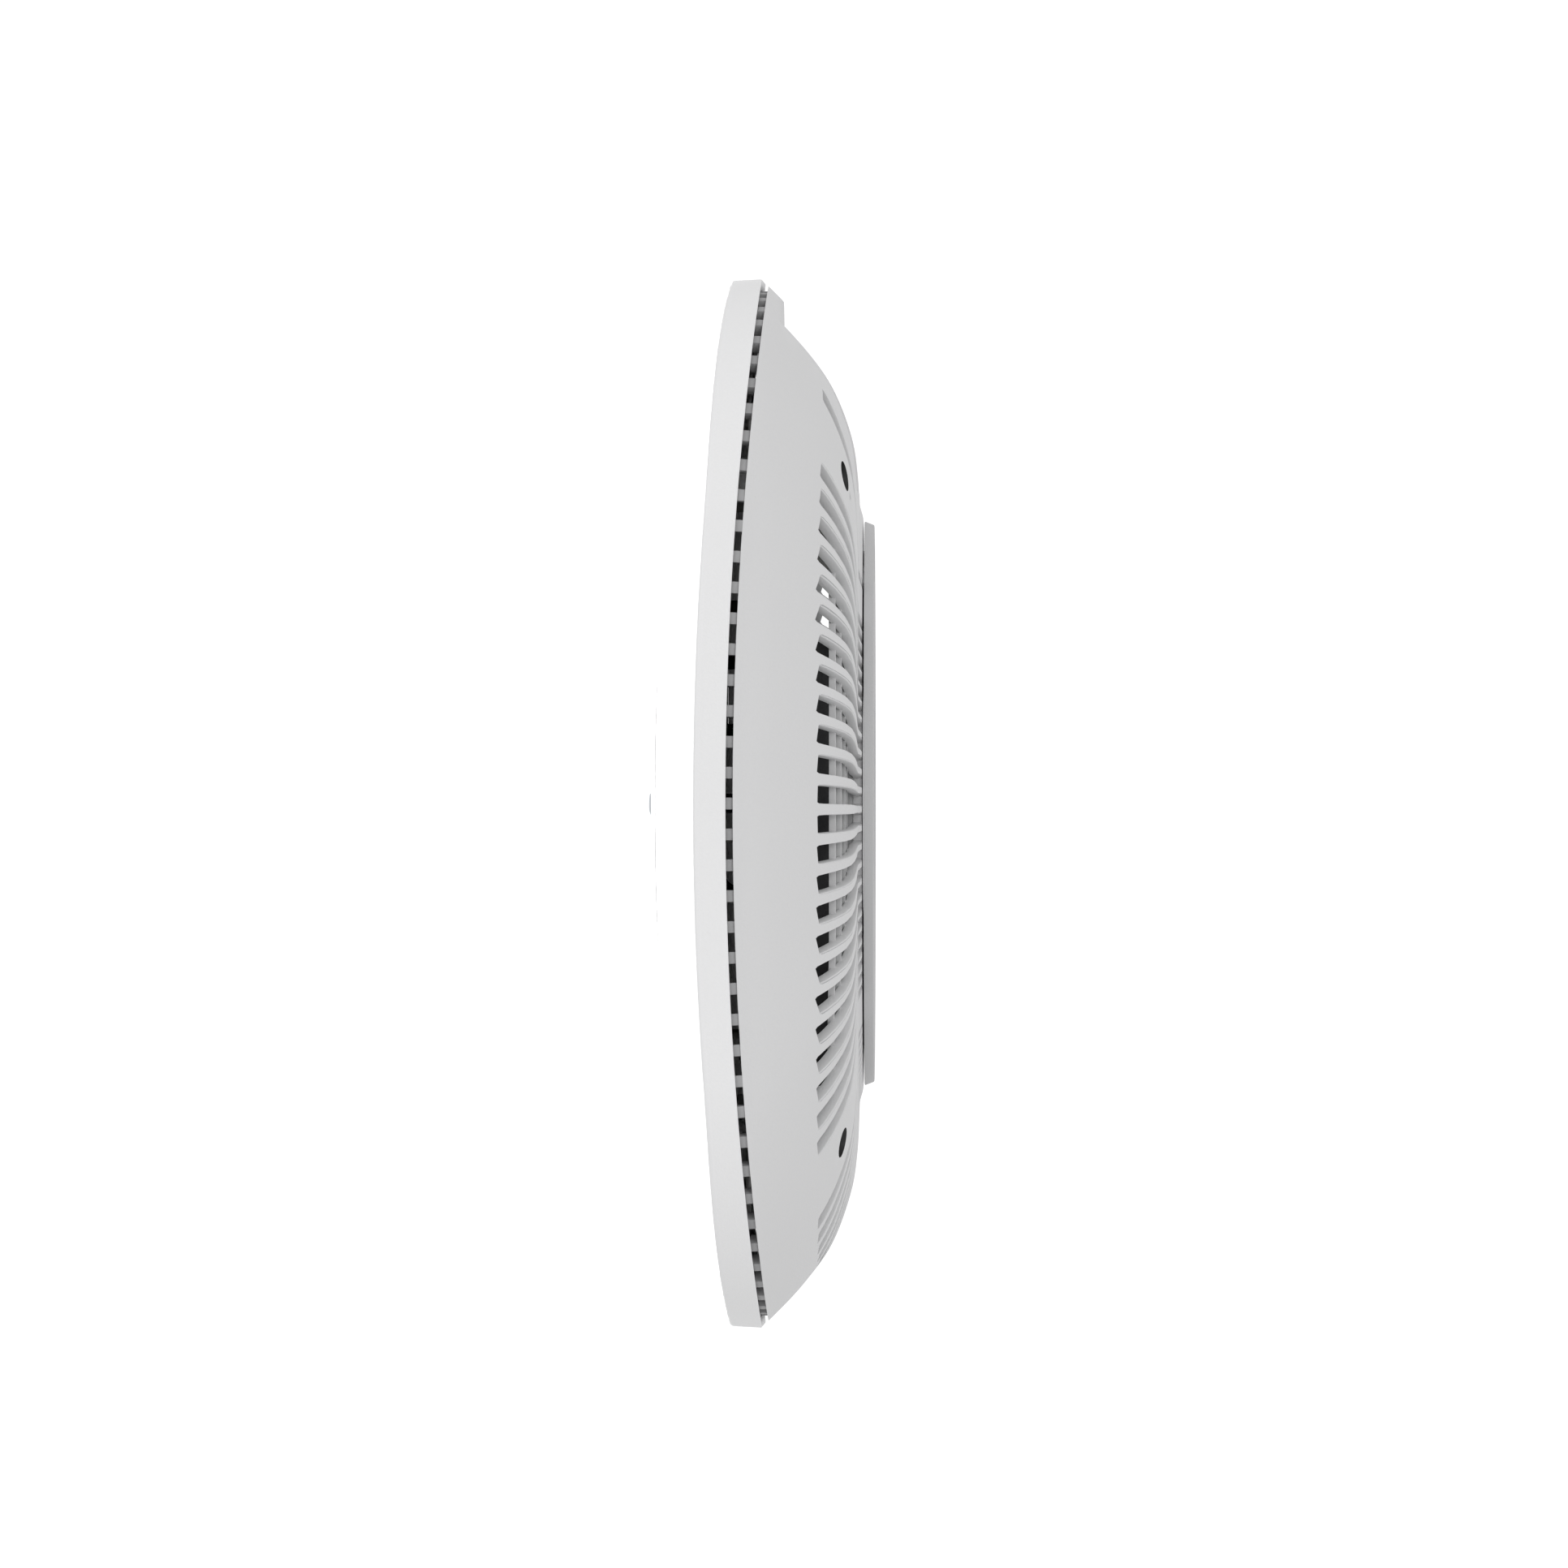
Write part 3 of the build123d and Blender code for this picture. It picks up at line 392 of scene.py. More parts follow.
def skinned(name, rings, material, close_ends=False, join_ends=False):
    """Mesh through rings of equal point count; the ends are capped or joined to each other."""
    count = len(rings[0])
    points = [Vector(p) * MM for ring in rings for p in ring]
    faces = []
    spans = len(rings) if join_ends else len(rings) - 1
    for r in range(spans):
        a = r * count
        b = ((r + 1) % len(rings)) * count
        for k in range(count):
            n = (k + 1) % count
            faces.append((a + k, a + n, b + n, b + k))
    if close_ends:
        faces.append(tuple(reversed(range(count))))
        faces.append(tuple(range((len(rings) - 1) * count, len(rings) * count)))
    mesh = bpy.data.meshes.new(name)
    mesh.from_pydata(points, [], faces)
    shape = bmesh.new()
    shape.from_mesh(mesh)
    bmesh.ops.recalc_face_normals(shape, faces=shape.faces)
    shape.to_mesh(mesh)
    shape.free()
    mesh.materials.append(material)
    piece = bpy.data.objects.new(name, mesh)
    scene.collection.objects.link(piece)
    return piece


def dish_depth(x, y):
    """Depth of the dish's outer face over a plan point."""
    low, high = 0.0, len(DISH) - 1.0
    for _ in range(24):
        middle = (low + high) / 2
        depth, hx, hy, corner = dish_section(middle, 0.0, 0.0)
        gap_x, gap_y = abs(x) - (hx - corner), abs(y) - (hy - corner)
        if math.hypot(max(gap_x, 0), max(gap_y, 0)) + min(max(gap_x, gap_y), 0) <= corner:
            low = middle
        else:
            high = middle
    reach = math.hypot(x, y)
    if reach < PLATEAU_FOOT:
        share = min((PLATEAU_FOOT - reach) / (PLATEAU_FOOT - PLATEAU_R), 1.0)
        return min(depth, DISH[-1][0] + (PLATEAU_TOP - DISH[-1][0]) * share)
    return depth


def dish_solid(name, drop, inset, floor_depth):
    """Closed dish from its arched edge up to the plateau."""
    def spot(t, k):
        depth, hx, hy, corner = dish_section(t, drop, inset)
        return *square_ring(hx, hy, corner, SIDE_STEPS, CORNER_STEPS)[k], depth

    count = len(square_ring(1, 1, 0.5, SIDE_STEPS, CORNER_STEPS))
    starts = []
    for k in range(count):
        low, high = 0.0, EDGE_REACH
        x, y, depth = spot(0.0, k)
        if depth > floor_depth - ARCH * y * y:
            for _ in range(22):
                middle = (low + high) / 2
                x, y, depth = spot(middle, k)
                if depth > floor_depth - ARCH * y * y:
                    low = middle
                else:
                    high = middle
        starts.append(low)
    rings = []
    top = len(DISH) - 1
    rows = DISH_ROWS * top
    for row in range(rows + 1):
        ring = []
        for k in range(count):
            x, y, depth = spot(starts[k] + (top - starts[k]) * row / rows, k)
            ring.append((x, y, -depth))
        rings.append(ring)
    floor_rings = []
    for share in FLOOR_SHARES:
        floor_rings.append([(x * share, y * share, z - (y * y - (y * share) ** 2) * ARCH)
                            for x, y, z in rings[0]])
    rings = floor_rings + rings
    foot, rim = PLATEAU_FOOT - inset, PLATEAU_R - inset
    ledge, plateau = DISH[-1][0] + drop, PLATEAU_TOP + drop
    angles = [math.atan2(y, x) for x, y, _ in rings[-1]]
    for radius, depth in ((foot, ledge - 0.02), (foot - 0.7, ledge - 0.14), (rim + 0.7, plateau + 0.12),
                          (rim, plateau), (rim * 0.5, plateau)):
        rings.append([(radius * math.cos(a), radius * math.sin(a), -depth) for a in angles])
    return skinned(name, rings, housing_plastic, close_ends=True)


def slot_plan():
    """Each vent slot's bearing and outer reach from the middle of the pattern."""
    straight = SLOT_HALF - SLOT_CORNER
    slots = []
    for side in range(4):
        for k in range(SLOTS_PER_SIDE):
            if side == 1 and 0 < k < SLOTS_PER_SIDE - 1:
                continue
            s = (k + 0.5 - SLOTS_PER_SIDE / 2) * SLOT_PITCH
            turn = max(abs(s) - straight, 0) / SLOT_CORNER
            x = straight + SLOT_CORNER * math.cos(turn)
            y = math.copysign(min(abs(s), straight) + SLOT_CORNER * math.sin(turn), s)
            slots.append((math.atan2(y, x) + side * math.pi / 2, math.hypot(x, y)))
    return slots


def slot_cutter(bearing, reach):
    """Wedge with a lip that follows the dish, so every fin's edges are eased."""
    rings = []
    for share, width_share in SLOT_STEPS:
        radius = SLOT_INNER_R + (reach - SLOT_INNER_R) * share
        half = (SLOT_INNER_W + (SLOT_OUTER_W - SLOT_INNER_W) * share) / 2 * width_share
        x, y = radius * math.cos(bearing), radius * math.sin(bearing) + PATTERN_Y
        surface = dish_depth(x, y)
        section = [(half + wider, surface + below) for wider, below in SLOT_LIP]
        ring = [(x - w * math.sin(bearing), y + w * math.cos(bearing), -d) for w, d in section]
        ring += [(x + w * math.sin(bearing), y - w * math.cos(bearing), -d) for w, d in reversed(section)]
        rings.append(ring)
    return skinned("slot_cutter", rings, housing_plastic, close_ends=True)


def prism_solid(name, outline, depth_top, depth_bottom):
    """Straight prism on a plan outline, between two depths."""
    rings = [[(x, y, -d) for x, y in outline] for d in (depth_bottom, depth_top)]
    return skinned(name, rings, housing_plastic, close_ends=True)


def round_outline(x, y, radius, count=40):
    """Circle in plan."""
    return [(x + radius * math.cos(2 * math.pi * k / count), y + radius * math.sin(2 * math.pi * k / count))
            for k in range(count)]


def sector_outline(r0, r1, a0, a1, count=24):
    """Part of a flat ring in plan, between two radii and two bearings in degrees."""
    angles = [math.radians(a0 + (a1 - a0) * k / count) for k in range(count + 1)]
    outer = [(r1 * math.cos(a), r1 * math.sin(a)) for a in angles]
    return outer + [(r0 * math.cos(a), r0 * math.sin(a)) for a in reversed(angles)]


def bay_outline(wall):
    """The cable bay's plan, set out by a wall's thickness."""
    slant = wall * BAY_SLANT
    half = [(BAY_BACK_HALF + slant, BAY_BACK_Y - wall), (BAY_MOUTH_HALF + wall, BAY_MOUTH_Y - slant),
            (BAY_MOUTH_HALF + wall, BAY_FAR_Y)]
    return [(-x, y) for x, y in reversed(half)] + half


def joined(pieces, name):
    """Makes one mesh of several."""
    mesh = bpy.data.meshes.new(name)
    shape = bmesh.new()
    for piece in pieces:
        shape.from_mesh(piece.data)
        bpy.data.objects.remove(piece)
    shape.to_mesh(mesh)
    shape.free()
    mesh.materials.append(housing_plastic)
    piece = bpy.data.objects.new(name, mesh)
    scene.collection.objects.link(piece)
    return piece


def combined(piece, tool, operation):
    """Adds a tool to a piece or cuts it away, then drops the tool."""
    step = piece.modifiers.new("cut", "BOOLEAN")
    step.operation = operation
    step.solver = "EXACT"
    step.object = tool
    settled(piece)
    bpy.data.objects.remove(tool)
    return piece


housing_plastic = grained("housing_plastic", (0.66, 0.66, 0.665), 0.5, 1900.0, 0.025, (0.74, 0.74, 0.745),
                          drift=0.06, wear=0.25)
# A near-black material is painted on the screw bores' walls as shade standing in for the dark inside the
# wells.
bore_painted_shade = grained("bore_painted_shade", (0.02, 0.02, 0.021), 0.6, 1500.0, 0.02, (0.04, 0.04, 0.04))
screw_spots = [(sx * SCREW_SPREAD, PATTERN_Y + sy * SCREW_SPREAD) for sx in (-1, 1) for sy in (-1, 1)]
housing = dish_solid("rear_housing_finished", 0.0, 0.0, HOUSING_BACK)
combined(housing, dish_solid("hollow", SKIN_DROP, SKIN_INSET, HOUSING_BACK + 3.0), "DIFFERENCE")
lining = prism_solid("lining", bay_outline(BAY_WALL), 0.0, BAY_FLOOR + 2.3)
combined(lining, dish_solid("envelope", 0.0, 0.0, HOUSING_BACK), "INTERSECT")
combined(housing, lining, "UNION")
cutters = [slot_cutter(bearing, reach) for bearing, reach in slot_plan()]
combined(housing, joined(cutters, "slots"), "DIFFERENCE")
wells = [prism_solid("well", round_outline(x, y, WELL_R, 48), 0.0, WELL_BOTTOM) for x, y in screw_spots]
wells = joined(wells, "wells")
combined(wells, dish_solid("envelope", 0.0, 0.0, HOUSING_BACK), "INTERSECT")
combined(housing, wells, "UNION")
skirt_rings = [[(x, y, -depth) for x, y in round_outline(0, 0, radius, 96)] for radius, depth in SKIRT]
skirt = skinned("skirt", skirt_rings, housing_plastic, join_ends=True)
jack_room = prism_solid("jack_room", [(-38, 45), (38, 45), (38, 70), (-38, 70)], 6.5, 10.0)
combined(skirt, jack_room, "DIFFERENCE")
drills = [prism_solid("bay", bay_outline(0), ABOVE, BAY_FLOOR)]
for x, y in screw_spots:
    drills.append(prism_solid("bore", round_outline(x, y, BORE_R), ABOVE, BORE_BOTTOM))
for x, y in screw_spots:
    drills.append(prism_solid("bore", round_outline(x, y, SHANK_R, 24), BORE_BOTTOM - 0.5, WELL_BOTTOM + 2.0))
for angle in (45, 135, 225, 315):
    opening = sector_outline(*HOOK_OPENING, angle - HOOK_PLAY, angle + TWIST + HOOK_PLAY)
    drills.append(prism_solid("bore", opening, ABOVE, GROOVE_BOTTOM))
drills.append(prism_solid("bore", sector_outline(*TAB_GROOVE), ABOVE, GROOVE_BOTTOM))
for x, w, top, bottom in PORT_WINDOWS:
    window = [(x + w, 60), (x + w, 66), (x - w, 66), (x - w, 60)]
    drills.append(prism_solid("bore", window, top, bottom))
for drill in drills:
    combined(housing, drill, "DIFFERENCE")
housing = joined([housing, skirt], "rear_housing_finished")
housing.data.materials.clear()
housing.data.materials.append(housing_plastic)
housing.data.materials.append(bore_painted_shade)
# Faces on the walls of the screw bores take the near-black painted shade.
for face in housing.data.polygons:
    middle = face.center / MM
    in_bore = any(math.hypot(middle.x - x, middle.y - y) < BORE_R + 0.1 for x, y in screw_spots)
    face.material_index = 1 if in_bore and abs(face.normal.z) < 0.9 else 0
housing.data.shade_smooth()
housing.data.set_sharp_from_angle(angle=math.radians(28))
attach(housing, "unit")
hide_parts("rear_housing")

# The screen is a thin grey moulding clipped behind the fins: rings and spokes that keep
# fingers and insects out. It is cut away at the bay, at the sockets and round the wells.
screen_plastic = grained("screen_plastic", (0.60, 0.60, 0.605), 0.6, 1500.0, 0.02)
SCREEN_RINGS = (84.0, 80.0, 74.5, 68.5)
SCREEN_CORNER = 53.0
SCREEN_DROP = 1.95          # below the housing's outer face
SCREEN_HEIGHT = 1.4
RING_WIDTH = 1.0
SPOKE_COUNT = 12
SPOKE_WIDTH = 1.4
SPOKE_REACH = (64, 69, 74, 79, 84, 88)
BAY_ROOM = [(-76.5, 122), (-76.5, 98), (-40.5, 61.2), (40.5, 61.2), (76.5, 98), (76.5, 122)]
SOCKET_ROOM = [(-40, 44), (40, 44), (40, 70), (-40, 70)]
WELL_ROOM_R = 5.7


def screen_bar(path, width, closed):
    """Bar along a plan path, hung under the dish, with its two upper edges eased."""
    rings = []
    for k, (x, y) in enumerate(path):
        ahead = path[(k + 1) % len(path)] if closed else path[min(k + 1, len(path) - 1)]
        behind = path[k - 1] if closed or k else path[0]
        dx, dy = ahead[0] - behind[0], ahead[1] - behind[1]
        length = math.hypot(dx, dy)
        nx, ny = dy / length * width / 2, -dx / length * width / 2
        top = dish_depth(x, y) + SCREEN_DROP
        low = top + SCREEN_HEIGHT
        rings.append([(x + nx, y + ny, -top - 0.1), (x + nx * 0.8, y + ny * 0.8, -top),
                      (x - nx * 0.8, y - ny * 0.8, -top), (x - nx, y - ny, -top - 0.1),
                      (x - nx, y - ny, -low), (x + nx, y + ny, -low)])
    return skinned("screen_bar", rings, screen_plastic, close_ends=not closed, join_ends=closed)


bars = []
for half in SCREEN_RINGS:
    outline = square_ring(half, half, min(SCREEN_CORNER, half - 4), 12, 20)
    bars.append(screen_bar([(x, y + PATTERN_Y) for x, y in outline], RING_WIDTH, True))
for k in range(SPOKE_COUNT):
    c, n = math.cos(k * math.pi / 6), math.sin(k * math.pi / 6)
    bars.append(screen_bar([(r * c, r * n + PATTERN_Y) for r in SPOKE_REACH], SPOKE_WIDTH, False))
screen = bars[0]
for bar in bars[1:]:
    combined(screen, bar, "UNION")
rooms = [BAY_ROOM] + [round_outline(x, y, WELL_ROOM_R) for x, y in screw_spots] + [SOCKET_ROOM]
for outline in rooms:
    combined(screen, prism_solid("room", outline, 0, 40), "DIFFERENCE")
screen.name = "vent_screen_finished"
screen.data.shade_smooth()
screen.data.set_sharp_from_angle(angle=math.radians(30))
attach(screen, "unit")
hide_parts("vent_screen")
# The port plate is a dark moulded bezel, clipped over the bay's back wall. It has an opening
# for each socket and a small one for the reset pin.
port_plastic = grained("port_plastic", (0.10, 0.10, 0.105), 0.45, 1700.0, 0.02, (0.2, 0.2, 0.2))
softened("port_plate", port_plastic, 0.15)

# The sockets are nickel-plated folded shields over moulded bodies, with gilt spring wires.
# They are soldered along the board's edge and look out through the port plate.
nickel = grained("nickel_shield", (0.60, 0.59, 0.57), 0.3, 800.0, 0.005, metallic=1.0, drift=0.2)
gilt = grained("gilt_wire", (0.82, 0.62, 0.26), 0.22, 600.0, 0.002, metallic=1.0)
for number in (1, 2, 3):
    softened(f"rj45_jack_{number}", nickel, 0.15)
softened("jack_contacts", gilt, 0.05)
softened("usb_jack", nickel, 0.1)

# The reset button is a small dark moulded cap on a sprung switch. A pin through the port
# plate reaches it.
dark_plastic = grained("dark_plastic", (0.03, 0.03, 0.032), 0.4, 1500.0, 0.01, (0.1, 0.1, 0.1))
softened("reset_button", dark_plastic, 0.15)
softened("reset_switch", dark_plastic, 0.1)

# The lock slot insert is a plated steel plate. It is set on the bay's slanted side wall, so
# that a lock does not tear the plastic.
softened("lock_slot_insert", nickel, 0.15)

# The cable clip is moulded with the bay's floor, in the housing's plastic. The label is a
# blank matt film stuck beside it.
softened("cable_clip", housing_plastic, 0.3)
label_film = grained("label_film", (0.78, 0.78, 0.77), 0.35, 400.0, 0.002, drift=0.05)
softened("rating_label", label_film, 0.02)

# The heat sink is a black anodised casting with fins. It lies over the shield cans, and soft
# silicone pads join it to them.
black_anodised = grained("black_anodised", (0.018, 0.018, 0.02), 0.5, 1300.0, 0.04, (0.08, 0.08, 0.08),
                         drift=0.2)
softened("heat_sink", black_anodised, 0.3)
pad_gel = grained("pad_gel", (0.25, 0.32, 0.42), 0.7, 900.0, 0.02)
softened("thermal_pads", pad_gel, 0.1)

# The shield cans are drawn from tinned sheet. Each is soldered round a radio or the
# processor.
tinned = grained("tinned_sheet", (0.62, 0.62, 0.60), 0.33, 500.0, 0.008, metallic=1.0, drift=0.3)
for name in ("shield_2g", "shield_5g", "shield_6g", "shield_cpu"):
    softened(name, tinned, 0.15)

# The board is a green laminate screwed to its pillars. It carries black chips, a ferrite
# transformer wound under amber tape, ferrite inductors and aluminium capacitors.
solder_mask = grained("solder_mask", (0.012, 0.085, 0.045), 0.35, 350.0, 0.012, (0.35, 0.33, 0.18),
                      coat=0.3)
softened("main_board", solder_mask, 0.08)
for name in ("cpu_chip", "memory_chips", "radio_chips"):
    softened(name, dark_plastic, 0.05)
ferrite = grained("ferrite", (0.05, 0.05, 0.053), 0.65, 1100.0, 0.03, (0.12, 0.12, 0.12))
softened("transformer_core", ferrite, 0.2)
softened("power_inductors", ferrite, 0.25)
amber_tape = grained("amber_tape", (0.72, 0.48, 0.07), 0.3, 300.0, 0.01)
softened("transformer_bobbin", amber_tape, 0.1)
can_metal = grained("can_metal", (0.68, 0.68, 0.69), 0.25, 400.0, 0.003, metallic=1.0)
softened("capacitors", can_metal, 0.1)
softened("status_led", dark_plastic, 0.1)

# The reflector is a tinned sheet on gilt pillars. Stamped aerials, a patch aerial and a
# beacon aerial stand on it, and thin leads join two of the side aerials to the board.
softened("antenna_plate", tinned, 0.15)
softened("board_standoffs", gilt, 0.1)
softened("antennas_2g", tinned, 0.06)
softened("antennas_5g", tinned, 0.06)
softened("scan_antenna", solder_mask, 0.08)
softened("beacon_antenna", dark_plastic, 0.1)
lead_jacket = grained("lead_jacket", (0.03, 0.03, 0.032), 0.3, 700.0, 0.004)
softened("coax_leads", lead_jacket, 0)
softened("coax_plugs", gilt, 0.1)

# The screws are plated pan heads with cross or slot recesses; the four housing screws are
# black and sit at the bottom of the wells.
for name in ("board_screws", "plate_screws"):
    softened(name, zinc_plate, 0.12)
black_zinc = grained("black_zinc", (0.035, 0.035, 0.037), 0.38, 800.0, 0.006, (0.2, 0.2, 0.2), metallic=0.6)
softened("housing_screws", black_zinc, 0.12)

# The comb ring is a grey moulding between cover and housing. Its teeth stand up from a thin
# flange and leave the air gap that runs all round.
COMB_HALF = 105.2
COMB_CORNER = 48.5
COMB_WALL = 2.6
COMB_TEETH = 120
COMB_GAP = 3.9
GAP_TOP = 28.5
GAP_BOTTOM = 30.0
FLANGE = (                  # inset from the comb's outer face, depth
    (0.0, 30.05), (0.0, 31.0), (0.2, 31.2), (COMB_WALL - 0.2, 31.2), (COMB_WALL, 31.0),
    (COMB_WALL, 30.05))
comb_plastic = grained("comb_plastic", (0.36, 0.36, 0.365), 0.55, 1600.0, 0.02, (0.45, 0.45, 0.45),
                       drift=0.05)


def comb_tree():
    """Stands one tooth on each point of the guide, turned to face out."""
    tree = bpy.data.node_groups.new("comb_teeth", "GeometryNodeTree")
    face = tree.interface
    face.new_socket("Geometry", in_out="INPUT", socket_type="NodeSocketGeometry")
    names = {}
    for name in ("Tooth Width", "Tooth Depth", "Tooth Height"):
        names[name] = face.new_socket(name, in_out="INPUT", socket_type="NodeSocketFloat").identifier
    material_socket = face.new_socket("Material", in_out="INPUT", socket_type="NodeSocketMaterial")
    names["Material"] = material_socket.identifier
    face.new_socket("Geometry", in_out="OUTPUT", socket_type="NodeSocketGeometry")
    nodes, links = tree.nodes, tree.links
    given = nodes.new("NodeGroupInput")
    result = nodes.new("NodeGroupOutput")
    size = nodes.new("ShaderNodeCombineXYZ")
    links.new(given.outputs["Tooth Depth"], size.inputs["X"])
    links.new(given.outputs["Tooth Width"], size.inputs["Y"])
    links.new(given.outputs["Tooth Height"], size.inputs["Z"])
    tooth = nodes.new("GeometryNodeMeshCube")
    links.new(size.outputs[0], tooth.inputs["Size"])
    turn = nodes.new("GeometryNodeInputNamedAttribute")
    turn.data_type = "FLOAT_VECTOR"
    turn.inputs["Name"].default_value = "turn"
    stand = nodes.new("GeometryNodeInstanceOnPoints")
    links.new(given.outputs["Geometry"], stand.inputs["Points"])
    links.new(tooth.outputs["Mesh"], stand.inputs["Instance"])
    links.new(turn.outputs["Attribute"], stand.inputs["Rotation"])
    real = nodes.new("GeometryNodeRealizeInstances")
    links.new(stand.outputs["Instances"], real.inputs[0])
    finish = nodes.new("GeometryNodeSetMaterial")
    links.new(real.outputs[0], finish.inputs["Geometry"])
    links.new(given.outputs["Material"], finish.inputs["Material"])
    links.new(finish.outputs[0], result.inputs[0])
    return tree, names


def outline_spot(s, half, corner):
    """Point on a rounded square and its facing, s along from the middle of the +X side."""
    side_length = 2 * (half - corner) + corner * math.pi / 2
    side = round(s / side_length)
    local = s - side * side_length
    straight = half - corner
    turn = max(abs(local) - straight, 0) / corner
    x = straight + corner * math.cos(turn)
    y = math.copysign(min(abs(local), straight) + corner * math.sin(turn), local)
    facing = math.copysign(turn, local) + side * math.pi / 2
    c, n = math.cos(side * math.pi / 2), math.sin(side * math.pi / 2)
    return x * c - y * n, x * n + y * c, facing


ring_length = 8 * (COMB_HALF - COMB_CORNER) + 2 * math.pi * COMB_CORNER
tooth_spots = []
tooth_turns = []
for k in range(COMB_TEETH):
    x, y, facing = outline_spot(k * ring_length / COMB_TEETH, COMB_HALF, COMB_CORNER)
    inward = COMB_WALL / 2
    middle = (GAP_TOP + GAP_BOTTOM) / 2 - ARCH * y * y
    tooth_spots.append(Vector((x - inward * math.cos(facing), y - inward * math.sin(facing), -middle)) * MM)
    tilt = math.atan(2 * ARCH * y) * math.cos(facing)
    tooth_turns.append((tilt, 0.0, facing))
guide = bpy.data.meshes.new("tooth_guide")
guide.from_pydata(tooth_spots, [], [])
stored = guide.attributes.new("turn", "FLOAT_VECTOR", "POINT")
for spot, turn in zip(stored.data, tooth_turns):
    spot.vector = turn
teeth = bpy.data.objects.new("comb_teeth", guide)
scene.collection.objects.link(teeth)
tree, sockets = comb_tree()
grower = teeth.modifiers.new("teeth", "NODES")
grower.node_group = tree
grower[sockets["Tooth Width"]] = (ring_length / COMB_TEETH - COMB_GAP) * MM
grower[sockets["Tooth Depth"]] = COMB_WALL * MM
grower[sockets["Tooth Height"]] = (GAP_BOTTOM - GAP_TOP + 0.2) * MM
grower[sockets["Material"]] = comb_plastic
settled(teeth)
rings = []
for inset, depth in FLANGE:
    ring = square_ring(COMB_HALF - inset, COMB_HALF - inset, COMB_CORNER - inset, SIDE_STEPS, CORNER_STEPS)
    rings.append([(x, y, -(depth - ARCH * y * y)) for x, y in ring])
band = skinned("comb_flange", rings, comb_plastic, join_ends=True)
comb = joined([teeth, band], "comb_ring_finished")
comb.data.materials.clear()
comb.data.materials.append(comb_plastic)
rounding = comb.modifiers.new("edge", "BEVEL")
rounding.width = 0.12 * MM
rounding.segments = 2
rounding.limit_method = "ANGLE"
rounding.angle_limit = math.radians(40)
settled(comb)
comb.data.shade_smooth()
comb.data.set_sharp_from_angle(angle=math.radians(35))
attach(comb, "unit")
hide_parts("comb_ring")

# The front cover is a white satin moulding: a shallow dome over an upright rim whose back
# edge is arched. Four posts inside it take the housing screws. A round pocket in the
# dome's middle takes the disc.
COVER_HALF = 107.7
COVER_CORNER = 51.0
DRAFT = 0.3
COVER_EDGE = 36.5
COVER_BACK = 30.0
DOME_EDGE = 107.4
CROWN = 9.4
WALL = 2.3
EDGE_ROUND = 0.9
BACK_ROUND = 0.15
INNER_ROUND = 0.8
POCKET_R = 35.3
POCKET_LIP = 0.22
POCKET_DEPTH = 1.6
POCKET_WALL = 1.2
LENS_HOLE = 2.9
DOME_ROWS = 25
RIM_ROWS = 6
INNER_ROWS = 10
POST_SIDES = 32
POST_TOP = 17.5
POST_R = 4.0
POST_BORE = 1.3
POST_FOOT = 4.8
cover_plastic = grained("cover_plastic", (0.79, 0.79, 0.795), 0.42, 2200.0, 0.018, (0.9, 0.9, 0.905),
                        drift=0.05, wear=0.15)


def dome_depth(x, y):
    """Depth of the dome's outer face over a plan point."""
    crown = CROWN * (1 - (y / DOME_EDGE) ** 2)
    return COVER_EDGE - ARCH * y * y + crown * (1 - (x / DOME_EDGE) ** 2)


def back_edge(x, y):
    """Depth of the rim's arched back edge."""
    return COVER_BACK - ARCH * y * y


def cover_outline(inset):
    """The cover's plan, set in from the rim's outer face."""
    return square_ring(COVER_HALF - inset, COVER_HALF - inset, COVER_CORNER - inset, 24, 34)


def cover_ring(inset, depth_of):
    """A ring round the cover's plan, at the depth that a function gives."""
    return [(x, y, -depth_of(x, y)) for x, y in cover_outline(inset)]


def dome_ring(share, r_inner, inset, drop):
    """A ring part way from the pocket's circle to the rim, on the dome or its inner face."""
    ring = []
    for x, y in cover_outline(inset):
        angle = math.atan2(y, x)
        px = r_inner * math.cos(angle) * (1 - share) + x * share
        py = r_inner * math.sin(angle) * (1 - share) + y * share
        ring.append((px, py, drop - dome_depth(px, py)))
    return ring


def lens_ring(drop):
    """A level ring at the edge of the lens's hole."""
    angles = [math.atan2(y, x) for x, y in cover_outline(0)]
    return [(LENS_HOLE * math.cos(a), LENS_HOLE * math.sin(a), drop - dome_depth(0, 0)) for a in angles]


def rim_depth(share):
    """The rim's depths, from the dome's rounded edge at 0 to the back edge's round at 1."""
    return lambda x, y: ((dome_depth(x, y) - EDGE_ROUND) * (1 - share)
                         + (back_edge(x, y) + BACK_ROUND) * share)


cover_rings = [lens_ring(POCKET_DEPTH)]
for out, drop in ((-0.3, POCKET_DEPTH), (-0.02, POCKET_DEPTH - 0.25), (0.0, 0.2), (0.06, 0.05),
                  (POCKET_LIP, 0.0)):
    cover_rings.append(dome_ring(0.0, POCKET_R + out, 0.0, drop))
for k in range(1, DOME_ROWS):
    cover_rings.append(dome_ring(k / DOME_ROWS, POCKET_R + POCKET_LIP, DRAFT + EDGE_ROUND, 0.0))
for k in range(RIM_ROWS + 1):
    turn = math.pi / 2 * k / RIM_ROWS
    inset = DRAFT + EDGE_ROUND * (1 - math.sin(turn))
    lift = EDGE_ROUND * (1 - math.cos(turn))
    cover_rings.append(cover_ring(inset, lambda x, y: dome_depth(x, y) - lift))
for k in range(1, RIM_ROWS):
    cover_rings.append(cover_ring(DRAFT * (1 - k / RIM_ROWS), rim_depth(k / RIM_ROWS)))
cover_rings.append(cover_ring(0.0, lambda x, y: back_edge(x, y) + BACK_ROUND))
cover_rings.append(cover_ring(BACK_ROUND, back_edge))
cover_rings.append(cover_ring(WALL - BACK_ROUND, back_edge))
cover_rings.append(cover_ring(WALL, lambda x, y: back_edge(x, y) + BACK_ROUND))
